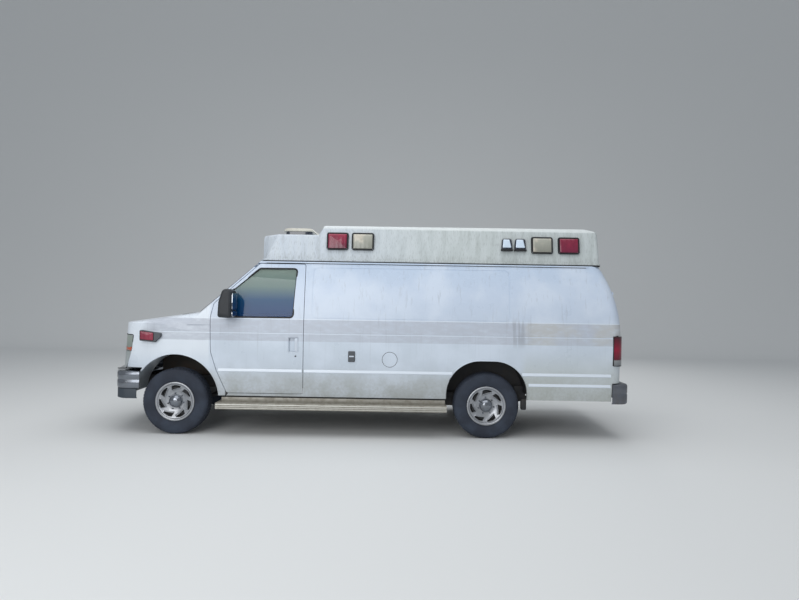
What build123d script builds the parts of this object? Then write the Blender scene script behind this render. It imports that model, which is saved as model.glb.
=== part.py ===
"""Raised-roof ambulance on a full-size extended van, in millimetres.

X runs from the nose to the tail, Y to the vehicle's right-hand side and Z up.
The origin is on the ground under the middle of the vehicle.
"""
from build123d import *
import os
from math import asin, cos, pi, sin, sqrt

os.makedirs("parts", exist_ok=True)

# Driving dimensions of the vehicle
LENGTH = 6012
NOSE_X = -LENGTH / 2
TAIL_X = LENGTH / 2
WHEELBASE = 3505
FRONT_AXLE_X = -2114
REAR_AXLE_X = FRONT_AXLE_X + WHEELBASE
FRONT_TRACK = 1763
REAR_TRACK = 1707
SILL_Z = 443
BODY_TOP_Z = 1971
WALL = 50
GAP = 6
HUB_Z = 370
OUT = 3200

# Body side section: half widths at sill, waist and drip rail, joined by arcs upright at the waist
SILL_Y = 958
WAIST_Y, WAIST_Z = 1007, 1060
DRIP_Y = 853

# Rear face: upright to the waist, then an arc that leans forward to the top
REAR_FACE_X = 2911
REAR_WAIST_Z = 1170
REAR_TOP_X = REAR_FACE_X - 221
REAR_CORNER_R = 120
REAR_CORNER_DEPTH = 151
REAR_STEP_X = 2797
REAR_STEP_Z = 650

# Windshield plane: a plan arc carried up a slope
SCREEN_FOOT = (-2052, 1358)
SCREEN_HEAD = (-1368, 1950)
SCREEN_R = 2600

# Front clip: hood section at one station, carried forward down the hood's slope
HOOD_STATION_X = -2130
HOOD_SLOPE = 0.154
HOOD_CROWN_Z, HOOD_EDGE_Y, HOOD_EDGE_Z = 1358, 880, 1330
HOOD_HALF = 830
HOOD_REAR_X = -2201
HOOD_LIP_Z = 1120
CLIP_REAR_X = -1730
CLIP_WALL = 40
FACE_LEAN = 0.069

# Wheels, kingpins and tyres
TYRE_R, TYRE_WIDTH = 370, 224
RIM_R, RIM_WIDTH = 205, 206
FLANGE_R = 222
SPINDLE_R = 30
KINGPIN_INBOARD = 70
KINGPIN_Y = FRONT_TRACK / 2 - KINGPIN_INBOARD

# Wheel arches
FRONT_ARCH_Z, FRONT_ARCH_R = 421, 480
LINER_INSET = 14
REAR_ARCH_HALF, REAR_ARCH_TOP, REAR_ARCH_CORNER = 458, 880, 380

# Side door outlines share a leaning hinge line that touches the bulge of the side
HINGE_Y, HINGE_Z, HINGE_LEAN = 1025, 960, 0.065
REAR_HINGE_X, REAR_HINGE_Y, REAR_HINGE_Z, REAR_HINGE_LEAN = 2940, 800, 1017, 0.10
HEADER_GAP = 10

# Pressed creases run along the sides at these heights: z, x from, x to
CREASES = [(1158, -1800, 2805), (748, -1800, 2805), (629, 1850, 2805)]
CREASE_DEPTH, CREASE_HEIGHT = 3, 9

DOOR_FRONT_X, DOOR_REAR_X, DOOR_BOTTOM_Z, DOOR_TOP_Z = -1724, -680, 476, 1941
CARGO_FRONT_X, CARGO_SPLIT_X, CARGO_REAR_X = -600, 113, 560
REAR_DOOR_BOTTOM_Z, REAR_DOOR_TOP_Z = 690, 1860
REAR_DOOR_HALF = 790
GLASS_OUTER, GLASS_INNER, GLASS_LIP = 12, 18, 16


def along_x(face, x_from, x_to):
    """Carry an outline drawn as (y, z) from one x to another."""
    return extrude(Plane.YZ.offset(x_from) * face, amount=x_to - x_from, dir=(1, 0, 0))


def along_y(face, y_from, y_to):
    """Carry an outline drawn as (x, z) from one y to another."""
    return extrude(Plane.XZ.offset(-y_from) * face, amount=y_to - y_from, dir=(0, 1, 0))


def along_z(face, z_from, z_to):
    """Carry an outline drawn as (x, y) from one height to another."""
    return extrude(Plane.XY.offset(z_from) * face, amount=z_to - z_from, dir=(0, 0, 1))


def outline(*corners):
    """Closed outline of straight runs; a corner's third value is its rounding radius."""
    points = [corner[:2] for corner in corners]
    radii = [corner[2] if len(corner) > 2 else 0 for corner in corners]
    return make_face(FilletPolyline(points, radius=radii, close=True))


def block(x_range, y_range, z_range):
    """Straight-sided block between three pairs of limits."""
    (x0, x1), (y0, y1), (z0, z1) = x_range, y_range, z_range
    centre = Pos((x0 + x1) / 2, (y0 + y1) / 2, (z0 + z1) / 2)
    return centre * Box(x1 - x0, y1 - y0, z1 - z0)


def bar_y(x, z, radius, y_from, y_to):
    """Round bar across the vehicle."""
    return Pos(x, (y_from + y_to) / 2, z) * Rot(90, 0, 0) * Cylinder(radius, abs(y_to - y_from))


def bar_x(y, z, radius, x_from, x_to):
    """Round bar along the vehicle."""
    return Pos((x_from + x_to) / 2, y, z) * Rot(0, 90, 0) * Cylinder(radius, abs(x_to - x_from))


def other_side(shape):
    """Mirror image on the other side of the vehicle."""
    return mirror(shape, about=Plane.XZ)


def save(name, *solids):
    """Write one sub-part as a STEP file."""
    pieces = []
    for item in solids:
        pieces.extend(item.solids())
    export_step(Compound(children=pieces) if len(pieces) > 1 else pieces[0], f"parts/{name}.step")


def side_section(inset, z_from, z_to):
    """Body outline across the vehicle, drawn in by inset on both sides."""
    foot, waist, drip = (SILL_Y - inset, SILL_Z), (WAIST_Y - inset, WAIST_Z), (DRIP_Y - inset, BODY_TOP_Z)
    right = [TangentArc(waist, foot, tangent=(0, -1)), TangentArc(waist, drip, tangent=(0, 1))]
    if z_from < SILL_Z:
        right.append(Line((foot[0], z_from), foot))
    if z_to > BODY_TOP_Z:
        right.append(Line(drip, (drip[0], z_to)))
    left = [edge.mirror(Plane.YZ) for edge in right]
    lid = Line((drip[0], z_to), (-drip[0], z_to))
    base = Line((-foot[0], z_from), (foot[0], z_from))
    return make_face(right + left + [lid, base])


def rear_profile(inset, z_from, z_to):
    """Body outline along the vehicle, with the rear face drawn in by inset."""
    face_x, top_x, front_x = REAR_FACE_X - inset, REAR_TOP_X - inset, -2400
    waist, top = (face_x, REAR_WAIST_Z), (top_x, BODY_TOP_Z)
    edges = [
        Line((face_x, z_from), waist),
        TangentArc(waist, top, tangent=(0, 1)),
        Line((top_x, z_to), (front_x, z_to)),
        Line((front_x, z_to), (front_x, z_from)),
        Line((front_x, z_from), (face_x, z_from)),
    ]
    if z_to > BODY_TOP_Z:
        edges.append(Line(top, (top_x, z_to)))
    return make_face(edges)


def behind_screen(inset):
    """Everything behind the windshield's surface, drawn in by inset."""
    rise_x, rise_z = SCREEN_HEAD[0] - SCREEN_FOOT[0], SCREEN_HEAD[1] - SCREEN_FOOT[1]
    slope = sqrt(rise_x**2 + rise_z**2)
    start = -2.1
    foot_x = SCREEN_FOOT[0] + start * rise_x + inset * slope / rise_z
    foot_z = SCREEN_FOOT[1] + start * rise_z
    edge_y = 1100
    sweep_back = SCREEN_R - sqrt(SCREEN_R**2 - edge_y**2)
    corner_x = foot_x + sweep_back
    plan = make_face([
        ThreePointArc((corner_x, -edge_y), (foot_x, 0), (corner_x, edge_y)),
        Line((corner_x, edge_y), (OUT + 3000, edge_y)),
        Line((OUT + 3000, edge_y), (OUT + 3000, -edge_y)),
        Line((OUT + 3000, -edge_y), (corner_x, -edge_y)),
    ])
    return extrude(Plane.XY.offset(foot_z) * plan, amount=3.6 * slope, dir=(rise_x, 0, rise_z))


def body_volume(inset, z_from=SILL_Z, z_to=BODY_TOP_Z):
    """Whole body shape behind the front clip, drawn in by inset."""
    shape = along_x(side_section(inset, z_from, z_to), -2300, REAR_FACE_X + 40)
    shape &= along_y(rear_profile(inset, z_from, z_to), -1100, 1100)
    upright = [
        edge
        for edge in shape.edges()
        if edge.center().X > REAR_TOP_X - 100 and abs(edge.center().Y) > 600 and edge.bounding_box().size.Z > 60
    ]
    shape = fillet(upright, REAR_CORNER_R - inset)
    return shape & behind_screen(inset)


def clip_plan():
    """Plan of the nose and fenders: front arc, corner arcs and gently curved sides."""
    corner, bend, side, middle, tail = (-2768, 800), (-2685, 905), (-2560, 952), (-2150, 992), (-1400, 1013)
    halves = []
    for mark in (1, -1):
        points = [(x, mark * y) for x, y in (corner, bend, side, middle, tail)]
        halves.append(ThreePointArc(points[0], points[1], points[2]))
        halves.append(ThreePointArc(points[2], points[3], points[4]))
    nose = ThreePointArc((corner[0], -corner[1]), (-2945, 0), corner)
    back = Line((tail[0], -tail[1]), tail)
    return make_face(halves + [nose, back])


def clip_volume(inset):
    """Front clip shape, drawn in by inset: sides, hood sweep, plan and nose profile together."""
    sides = along_x(side_section(inset, 200, BODY_TOP_Z), -3010, CLIP_REAR_X)
    edge_out = 1012
    crown = make_face([
        ThreePointArc((985, 1230), (955, 1300), (HOOD_EDGE_Y, HOOD_EDGE_Z)),
        ThreePointArc((HOOD_EDGE_Y, HOOD_EDGE_Z), (0, HOOD_CROWN_Z), (-HOOD_EDGE_Y, HOOD_EDGE_Z)),
        ThreePointArc((-985, 1230), (-955, 1300), (-HOOD_EDGE_Y, HOOD_EDGE_Z)),
        Line((985, 1230), (edge_out, 1100)),
        Line((edge_out, 1100), (edge_out, 200)),
        Line((edge_out, 200), (-edge_out, 200)),
        Line((-edge_out, 200), (-edge_out, 1100)),
        Line((-edge_out, 1100), (-985, 1230)),
    ])
    if inset:
        crown = offset(crown, -inset)
    ahead, slope = 900, sqrt(1 + HOOD_SLOPE**2)
    top = extrude(Plane.YZ.offset(HOOD_STATION_X) * crown, amount=ahead * slope, dir=(-1, 0, -HOOD_SLOPE))
    top += extrude(Plane.YZ.offset(HOOD_STATION_X) * crown, amount=450 * slope, dir=(1, 0, HOOD_SLOPE))
    brow_foot, brow, brow_top = (-3000 + inset, 1060), (-2893 + inset, 1215 - inset), (-2780, 1262 - inset)
    nose = make_face([
        Line((-1600, 180), (brow_foot[0], 180)),
        Line((brow_foot[0], 180), brow_foot),
        ThreePointArc(brow_foot, brow, brow_top),
        Line(brow_top, (-1600, 1500 - inset)),
        Line((-1600, 1500 - inset), (-1600, 180)),
    ])
    plan = offset(clip_plan(), -inset) if inset else clip_plan()
    low_z, high_z, lean_from = 200, 1500, 700
    lean = Pos(-FACE_LEAN * (lean_from - low_z), 0, low_z) * plan
    lean = extrude(lean, amount=(high_z - low_z) * sqrt(1 + FACE_LEAN**2), dir=(FACE_LEAN, 0, 1))
    return (sides & top) & (lean & along_y(nose, -1100, 1100))


def front_arch(radius):
    """Round cut of a front wheel arch, flared at its lower rear corner."""
    cut = Pos(FRONT_AXLE_X, FRONT_ARCH_Z) * Circle(radius)
    cut += outline(
        (FRONT_AXLE_X - radius, 300), (FRONT_AXLE_X + radius + 28, 300),
        (FRONT_AXLE_X + radius - 4, FRONT_ARCH_Z + 40), (FRONT_AXLE_X - radius, FRONT_ARCH_Z),
    )
    return cut


def rear_arch(margin):
    """Rounded cut of a rear wheel arch."""
    half, top = REAR_ARCH_HALF + margin, REAR_ARCH_TOP + margin
    return outline(
        (REAR_AXLE_X - half, 300), (REAR_AXLE_X + half, 300),
        (REAR_AXLE_X + half, top, REAR_ARCH_CORNER), (REAR_AXLE_X - half, top, REAR_ARCH_CORNER),
    )


def front_door_outline(gap):
    """Front door in side view, grown by gap."""
    face = outline(
        (-1539, DOOR_BOTTOM_Z, 30), (DOOR_REAR_X, DOOR_BOTTOM_Z, 40), (DOOR_REAR_X, DOOR_TOP_Z, 30),
        (-1200, DOOR_TOP_Z, 40), (-1690, 1480, 60), (DOOR_FRONT_X, 1330, 120),
        (DOOR_FRONT_X + 11, 939, 200), (-1651, 736, 200),
    )
    return offset(face, gap) if gap else face


def swing_limit(hinge_x, reach, z_middle=HINGE_Z):
    """Round column about a left-hand door's leaning hinge line, as wide as its free edge reaches."""
    axis = Plane((hinge_x, -HINGE_Y, z_middle), x_dir=(1, 0, 0), z_dir=(0, HINGE_LEAN, 1))
    return axis * Cylinder(reach, 4000)


def side_window(points, gap=0):
    """Window outline with rounded corners, grown by gap."""
    face = outline(*points)
    return offset(face, gap) if gap else face


def rear_swing_limit(reach):
    """Round column about the left rear door's leaning hinge line."""
    axis = Plane((REAR_HINGE_X, -REAR_HINGE_Y, REAR_HINGE_Z), x_dir=(0, 1, 0), z_dir=(-REAR_HINGE_LEAN, 0, 1))
    return axis * Cylinder(reach, 4000)


# Shared body layers
body_outer = body_volume(0)
body_inner = body_volume(WALL, z_from=300, z_to=BODY_TOP_Z + 60)
body_wall = body_outer - body_inner
glass_layer = body_volume(GLASS_OUTER, z_from=300, z_to=2020) - body_volume(GLASS_INNER, z_from=300, z_to=2020)
rebate_layer = body_outer - body_volume(GLASS_INNER, z_from=300, z_to=2020)
crease_layer = body_outer - body_volume(CREASE_DEPTH, z_from=300, z_to=2020)
creases = Compound(children=[
    crease_layer & block((x_from, x_to), (-1100, 1100), (z - CREASE_HEIGHT / 2, z + CREASE_HEIGHT / 2))
    for z, x_from, x_to in CREASES])
left_half = block((-OUT, OUT), (-1200, 0), (0, 2600))
right_half = block((-OUT, OUT), (0, 1200), (0, 2600))

# Front doors: window outline drawn as (x, z, corner radius)
FRONT_WINDOW = [(-1612, 1330, 30), (-800, 1334, 40), (-774, 1888, 35), (-1200, 1886, 50), (-1612, 1530, 60)]
front_reach = DOOR_REAR_X - DOOR_FRONT_X
door_prism = along_y(front_door_outline(0), -1100, -600)
door_blank = body_wall & door_prism & swing_limit(DOOR_FRONT_X, front_reach)
window_inner = along_y(side_window(FRONT_WINDOW, -GLASS_LIP), -1100, -600)
window_outer = along_y(side_window(FRONT_WINDOW), -1100, -600)
handle_recess = along_y(outline((-847, 942, 20), (-730, 942, 20), (-730, 1116, 20), (-847, 1116, 20)), -1100, -985)
front_door = door_blank - window_inner - (rebate_layer & window_outer) - handle_recess
handle_bar = along_y(outline((-772, 950, 8), (-740, 950, 8), (-740, 1106, 8), (-772, 1106, 8)), -1003, -985)
front_door = front_door - creases + handle_bar
front_glass = glass_layer & window_outer
save("door_front_left", front_door)
save("door_front_right", other_side(front_door))
save("glass_front_left", front_glass)
save("glass_front_right", other_side(front_glass))

# Door mirrors: black sail, arm and a tall head
head = along_z(outline((-1556, -1250, 40), (-1413, -1236, 30), (-1420, -1010, 40), (-1565, -1030, 50)), 1322, 1634)
head = fillet(head.edges().group_by(Axis.Z)[-1] + head.edges().group_by(Axis.Z)[0], 18)
arm = block((-1530, -1450), (-1080, -975), (1362, 1400)) + block((-1530, -1450), (-1080, -975), (1520, 1556))
sail_plate = along_y(outline((-1600, 1340), (-1462, 1340), (-1462, 1630), (-1600, 1522)), -1100, -600)
sail = (body_volume(0) - body_volume(GLASS_OUTER, z_from=300, z_to=2020)) & sail_plate
arm -= body_volume(4, z_from=300, z_to=2020)
mirror_left = head + arm + sail
save("mirror_left", mirror_left)
save("mirror_right", other_side(mirror_left))

# Front-door opening, shared by the body side, the fender and the windshield frame
door_opening = along_y(front_door_outline(GAP), -1100, -600) + block((-1300, -700), (-1000, -600), (1900, 1941 + HEADER_GAP))
door_opening &= swing_limit(DOOR_FRONT_X, front_reach + GAP)
door_opening = door_opening + other_side(door_opening)

# Cargo doors on the right side, drawn on the left side and mirrored
CARGO_WINDOWS = {"front": (-480, 10), "rear": (190, 470)}
cargo_specs = [("front", CARGO_FRONT_X, CARGO_SPLIT_X - 3, CARGO_FRONT_X), ("rear", CARGO_SPLIT_X + 3, CARGO_REAR_X, CARGO_REAR_X)]
cargo_opening = along_y(
    outline((CARGO_FRONT_X - GAP, DOOR_BOTTOM_Z - GAP, 40), (CARGO_REAR_X + GAP, DOOR_BOTTOM_Z - GAP, 40),
            (CARGO_REAR_X + GAP, DOOR_TOP_Z + HEADER_GAP, 30), (CARGO_FRONT_X - GAP, DOOR_TOP_Z + HEADER_GAP, 30)),
    -1100, -600)
for name, x_from, x_to, hinge_x in cargo_specs:
    x_free = x_to if hinge_x == x_from else x_from
    face = outline((x_from, DOOR_BOTTOM_Z, 30), (x_to, DOOR_BOTTOM_Z, 30), (x_to, DOOR_TOP_Z, 30), (x_from, DOOR_TOP_Z, 30))
    leaf = body_wall & along_y(face, -1100, -600) & swing_limit(hinge_x, abs(x_free - hinge_x))
    w_from, w_to = CARGO_WINDOWS[name]
    pane = [(w_from, 1330, 50), (w_to, 1330, 50), (w_to, 1780, 50), (w_from, 1780, 50)]
    through = along_y(side_window(pane, -GLASS_LIP), -1100, -600)
    full = along_y(side_window(pane), -1100, -600)
    leaf = leaf - through - (rebate_layer & full) - other_side(creases)
    save(f"cargo_door_{name}", other_side(leaf))
    save(f"cargo_glass_{name}", other_side(glass_layer & full))

# Rear doors hang on leaning hinge lines behind the rear face
rear_zone = block((REAR_TOP_X - 200, OUT), (-REAR_DOOR_HALF, -3), (REAR_DOOR_BOTTOM_Z, REAR_DOOR_TOP_Z))
rear_leaf = body_wall & rear_zone & rear_swing_limit(REAR_HINGE_Y - 3)
rear_pane = outline((-640, 1310, 60), (-160, 1310, 60), (-160, 1700, 60), (-640, 1700, 60))
rear_through = along_x(offset(rear_pane, -GLASS_LIP), 2500, OUT)
rear_full = along_x(rear_pane, 2500, OUT)
rear_leaf = rear_leaf - rear_through - (rebate_layer & rear_full)
rear_glass = glass_layer & rear_full
save("rear_door_left", rear_leaf)
save("rear_door_right", other_side(rear_leaf))
save("rear_glass_left", rear_glass)
save("rear_glass_right", other_side(rear_glass))

# Body sides with their openings, and the frame round the rear doors
side_field = along_y(
    outline((-1556, 430), (REAR_STEP_X, 430), (REAR_STEP_X, BODY_TOP_Z), (-1150, BODY_TOP_Z),
            (-1150, 1500), (-900, 600), (-1500, 500)),
    -1100, 1100)
ahead_of_corner = along_y(rear_profile(REAR_CORNER_DEPTH, 300, 2100), -1100, 1100)
corner_zone = block((2400, OUT), (-1100, 1100), (REAR_STEP_Z, BODY_TOP_Z)) - ahead_of_corner
sides = (body_wall & side_field) - corner_zone - door_opening - along_y(rear_arch(0), -1100, 1100)
FUEL_DOOR = (294, 880)
FUEL_DOOR_R = 82
fuel_hole = Pos(FUEL_DOOR[0], -980, FUEL_DOOR[1]) * Rot(90, 0, 0) * Cylinder(FUEL_DOOR_R + 5, 60)
PANEL_Z = (1325, 1905)
PANEL_REAR_X = 1640


def panel_groove(x_from):
    """Groove round the pressed panel that stands where other bodies have a window."""
    face = outline((x_from, PANEL_Z[0], 60), (PANEL_REAR_X, PANEL_Z[0], 60), (PANEL_REAR_X, PANEL_Z[1], 60), (x_from, PANEL_Z[1], 60))
    return crease_layer & along_y(face - offset(face, -CREASE_HEIGHT), -1100, 1100)


RAIL_Z_RANGE, RAIL_PROUD = (1955, 1967), 12
drip_rail = (body_volume(-RAIL_PROUD, z_from=300) - body_volume(WALL / 2, z_from=300)) & block((-1140, 2540), (-1100, 1100), RAIL_Z_RANGE)
body_left = (sides & left_half) - fuel_hole - creases - panel_groove(-590) + (drip_rail & left_half)
body_right = (sides & right_half) - other_side(cargo_opening) - creases - panel_groove(650) + (drip_rail & right_half)
save("body_side_left", body_left)
save("body_side_right", body_right)
fuel_disc = Pos(FUEL_DOOR[0], -1000, FUEL_DOOR[1]) * Rot(90, 0, 0) * Cylinder(FUEL_DOOR_R, 60)
fuel_door = (body_outer - body_volume(8)) & fuel_disc
save("fuel_door", fuel_door)
rear_opening = block((2400, OUT), (-REAR_DOOR_HALF - GAP, REAR_DOOR_HALF + GAP), (REAR_DOOR_BOTTOM_Z - GAP, REAR_DOOR_TOP_Z + 14))
TAIL_LAMP_Z = (852, 1178)
TAIL_LAMP_PROUD, TAIL_LAMP_DEPTH, TAIL_LAMP_R = 7, 40, 105
lamp_x, lamp_y = REAR_FACE_X + TAIL_LAMP_PROUD, WAIST_Y + TAIL_LAMP_PROUD
lamp_front_x, lamp_inner_y = 2805, REAR_HINGE_Y + 24
tail_zone = block((lamp_front_x, OUT), (-1100, -lamp_inner_y), TAIL_LAMP_Z)
tail_lamp = along_z(
    outline((lamp_front_x, -lamp_y), (lamp_x, -lamp_y, TAIL_LAMP_R), (lamp_x, -lamp_inner_y),
            (lamp_x - TAIL_LAMP_DEPTH, -lamp_inner_y),
            (lamp_x - TAIL_LAMP_DEPTH, TAIL_LAMP_DEPTH - lamp_y, TAIL_LAMP_R - TAIL_LAMP_DEPTH),
            (lamp_front_x, TAIL_LAMP_DEPTH - lamp_y)),
    *TAIL_LAMP_Z)
rear_lid = body_outer & block((2400, OUT), (-900, 900), (1921, BODY_TOP_Z))
rear_frame = (body_wall + rear_lid) & corner_zone
rear_frame = rear_frame - rear_opening - tail_zone - other_side(tail_zone) - creases
save("rear_frame", rear_frame)
save("tail_lamps", tail_lamp, other_side(tail_lamp))

# Windshield frame with pillars, header and cowl, and the glass in its rebate
clip_outer = clip_volume(0)
clip_inner = clip_volume(CLIP_WALL)
clip_wall = clip_outer - clip_inner
screen_pane = [(-770, 1385, 60), (770, 1385, 60), (700, 1905, 70), (-700, 1905, 70)]
screen_full = along_x(side_window(screen_pane), -2400, -1000)
screen_through = along_x(side_window(screen_pane, -25), -2400, -1000)
front_zone = block((-2100, -1150), (-1100, 1100), (1240, BODY_TOP_Z))
front_lid = body_outer & block((-1500, -1150), (-1000, 1000), (1926, BODY_TOP_Z))
frame = (body_wall & front_zone) + front_lid
frame = frame - clip_outer - door_opening - screen_through - (rebate_layer & screen_full)
cowl_zone = block((HOOD_REAR_X + GAP, -1850), (-(HOOD_HALF + GAP), HOOD_HALF + GAP), (1200, 1500))
cowl = (clip_wall & cowl_zone) - behind_screen(60)
save("windshield_frame", frame + cowl)
save("windshield", glass_layer & screen_full & block((-2400, -1150), (-900, 900), (1300, 1960)))

# Hood, fenders, grille, headlamps
hood_plan = outline((-3100, -HOOD_HALF), (HOOD_REAR_X, -HOOD_HALF, 40), (HOOD_REAR_X, HOOD_HALF, 40), (-3100, HOOD_HALF))
hood_zone = along_z(hood_plan, HOOD_LIP_Z, 1500)
hood = clip_wall & hood_zone
save("hood", hood)
hood_opening = along_z(offset(hood_plan, GAP), HOOD_LIP_Z - GAP, 1500)
LAMP_INNER_Y, LAMP_BOTTOM_Z, LAMP_TOP_Z = 575, 728, 1107
lamp_side = outline((-3100, LAMP_BOTTOM_Z), (-2703, LAMP_BOTTOM_Z, 30), (-2630, 950, 60), (-2615, LAMP_TOP_Z, 30), (-3100, LAMP_TOP_Z))
lamp_prism = along_y(lamp_side, -1100, -LAMP_INNER_Y)
headlamp = clip_wall & lamp_prism
save("headlamps", headlamp, other_side(headlamp))
lamp_opening = along_y(offset(lamp_side, 3), -1100, -LAMP_INNER_Y + 5)
lamp_opening += other_side(lamp_opening)
nose_cut = block((-3100, -2500), (-1100, 1100), (100, 744))
arch_cut = along_y(front_arch(FRONT_ARCH_R), -1100, 1100)
fender_zone = block((-3100, CLIP_REAR_X), (HOOD_HALF - 260, 1100), (SILL_Z, 1500)) + block((-3100, -1500), (930, 1100), (SILL_Z, 1500))
lower_leg = (body_wall & block((CLIP_REAR_X, -1558), (600, 1100), (SILL_Z, 1236))) - door_opening
under_screen = behind_screen(0) & block((-OUT, 0), (-930, 930), (1236, 1700))
fender = (clip_wall & fender_zone) - hood_opening - cowl_zone - lamp_opening - under_screen - nose_cut
clip_crease = (clip_outer - clip_volume(CREASE_DEPTH)) & block(
    (-2262, CLIP_REAR_X), (-1100, 1100), (CREASES[0][0] - CREASE_HEIGHT / 2, CREASES[0][0] + CREASE_HEIGHT / 2))
fender -= clip_crease
grille_zone = block((-3100, -2400), (-LAMP_INNER_Y + 8, LAMP_INNER_Y - 8), (LAMP_BOTTOM_Z, HOOD_LIP_Z - GAP))
fender = (fender - grille_zone) + lower_leg
fender -= arch_cut
liner_ring = Pos(FRONT_AXLE_X, FRONT_ARCH_Z) * (Circle(FRONT_ARCH_R + 20) - Circle(FRONT_ARCH_R + 8))
liner_space = clip_volume(LINER_INSET)
liner_space += body_volume(LINER_INSET) & block((CLIP_REAR_X - 20, -1500), (0, 1100), (SILL_Z, 1000))
liner = along_y(liner_ring, 560, 1050) & liner_space & block((-2600, -1600), (500, 1050), (FRONT_ARCH_Z + 30, 1000))
fender_right = fender + liner
save("front_fenders", fender_right, other_side(fender_right))
grille_field = clip_wall & grille_zone
bar_windows = [(758, 848), (872, 962), (986, 1066)]
grille_face = clip_outer - clip_volume(28)
grille = grille_field
for z_low, z_high in bar_windows:
    grille -= grille_face & block((-3100, -2700), (-LAMP_INNER_Y + 40, LAMP_INNER_Y - 40), (z_low, z_high))
save("grille", grille)

# Bumpers
def bumper_plan(front_x, edge_y, corner_r, back_x):
    """Front bumper plan: a long front arc, tangent round corners and straight ends."""
    front_r = 2100
    turn = asin((edge_y - corner_r) / (front_r - corner_r))
    centre_x, centre_y = front_x + front_r - (front_r - corner_r) * cos(turn), edge_y - corner_r
    start = (front_x + front_r * (1 - cos(turn)), front_r * sin(turn))
    half_way = (turn + pi / 2) / 2
    bend = (centre_x - corner_r * cos(half_way), centre_y + corner_r * sin(half_way))
    pieces = [ThreePointArc((start[0], -start[1]), (front_x, 0), start)]
    for mark in (1, -1):
        pieces.append(ThreePointArc((start[0], mark * start[1]), (bend[0], mark * bend[1]), (centre_x, mark * edge_y)))
        pieces.append(Line((centre_x, mark * edge_y), (back_x, mark * edge_y)))
    pieces.append(Line((back_x, -edge_y), (back_x, edge_y)))
    return make_face(pieces)


bumper = along_z(bumper_plan(NOSE_X, 990, 150, -2517), 532, 705)
long_edges = bumper.edges().group_by(Axis.Z)[-1] + bumper.edges().group_by(Axis.Z)[0]
bumper = fillet([e for e in long_edges if e.center().X < -2530], 22)
bumper -= along_z(bumper_plan(NOSE_X + 45, 945, 110, -2400), 500, 740)
bumper_brackets = [block((-2960, -2740), (mark * 392 - 30, mark * 392 + 30), (560, 660)) for mark in (1, -1)]
PLATE_HOLE_Y, PLATE_HOLE_Z = 88.9, 620
for mark in (1, -1):
    bumper -= bar_x(mark * PLATE_HOLE_Y, PLATE_HOLE_Z, 3.5, -3050, -2900)
save("front_bumper", bumper + bumper_brackets[0] + bumper_brackets[1])
valance = along_z(bumper_plan(NOSE_X + 30, 972, 140, -2530), 396, 526) - along_z(bumper_plan(NOSE_X + 60, 942, 110, -2400), 380, 540)
save("front_valance", valance)
rear_bumper_plan = outline((2803, -985), (TAIL_X, -985, 110), (TAIL_X, 985, 110), (2803, 985))
rear_bumper_core = outline((2700, -945), (TAIL_X - 40, -945, 80), (TAIL_X - 40, 945, 80), (2700, 945))
rear_bumper = along_z(rear_bumper_plan, 413, 641)
rear_bumper = fillet([e for e in rear_bumper.edges().group_by(Axis.Z)[-1] if e.center().X > 2810], 20)
rear_bumper -= along_z(rear_bumper_core, 380, 616)
rear_bumper += block((2790, 2985), (362, 422), (480, 606)) + block((2790, 2985), (-422, -362), (480, 606))
save("rear_bumper", rear_bumper)

# Raised roof: a low front part and a tall part, sides leaning in, corners cut off in plan
ROOF_FOOT_Y, ROOF_EAVE_Y, ROOF_EAVE_Z, ROOF_CROWN_Z = 845, 775, 2392, 2440
LOW_EAVE_Y, LOW_EAVE_Z, LOW_CROWN_Z = 796, 2262, 2300


def roof_part(inset, eave_y, eave_z, crown_z, profile, plan):
    """Lean-sided, crowned prism cut by a side profile and a plan."""
    foot_y = ROOF_FOOT_Y - inset
    foot_z = BODY_TOP_Z - (40 if inset > 0 else 0)
    lean = (ROOF_FOOT_Y - eave_y) / (eave_z - BODY_TOP_Z)
    foot_y += lean * (BODY_TOP_Z - foot_z)
    section = make_face([
        Line((-foot_y, foot_z), (foot_y, foot_z)),
        Line((foot_y, foot_z), (eave_y - inset, eave_z - inset)),
        ThreePointArc((eave_y - inset, eave_z - inset), (0, crown_z - inset), (-eave_y + inset, eave_z - inset)),
        Line((-eave_y + inset, eave_z - inset), (-foot_y, foot_z)),
    ])
    return along_x(section, -1400, 2800) & along_y(profile, -900, 900) & along_z(plan, foot_z - 10, 2600)


def roof_volume(inset):
    """Outside shape of the raised roof, drawn in by inset."""
    i = inset
    tall_profile = outline(
        (-640 + i, 1900), (-623 + i, 2020), (-565 + i, 2280), (-490 + i, 2400), (-430, 2600),
        (2560, 2600), (2660 - i, 2395), (2690 - i, 1960), (2690 - i, 1900))
    tall_plan = outline(
        (-900, -900), (2540, -900), (2690 - i, -640 + i * 0.4), (2690 - i, 640 - i * 0.4), (2540, 900), (-900, 900))
    low_profile = outline((-1253 + i, 1900), (-1250 + i, 1980), (-1192 + i, 2330), (-400, 2330), (-400, 1900))
    low_plan = outline((-1250 + i, -500), (-1128 + i, -900), (-400, -900), (-400, 900), (-1128 + i, 900), (-1250 + i, 500))
    tall = roof_part(i, ROOF_EAVE_Y, ROOF_EAVE_Z, ROOF_CROWN_Z, tall_profile, tall_plan)
    low = roof_part(i, LOW_EAVE_Y, LOW_EAVE_Z, LOW_CROWN_Z, low_profile, low_plan)
    return tall + low


roof_outer = roof_volume(0)
roof_lip = roof_volume(-8) & block((-OUT, OUT), (-1000, 1000), (BODY_TOP_Z, BODY_TOP_Z + 22))
raised_roof = roof_outer + roof_lip - roof_volume(30)
save("raised_roof", raised_roof)

# Roof lamps: left-hand rows of x from, x to, z from, z to, by lens colour
RED_LAMPS = [(-453, -207, 2116, 2317), (2208, 2451, 2108, 2302)]
CLEAR_LAMPS = [(-166, 88, 2116, 2317), (1900, 2144, 2108, 2302)]
PODS = [(1555, 1678, 2140, 2276), (1705, 1835, 2140, 2276)]
lamp_layer = roof_volume(-28) - roof_outer


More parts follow.
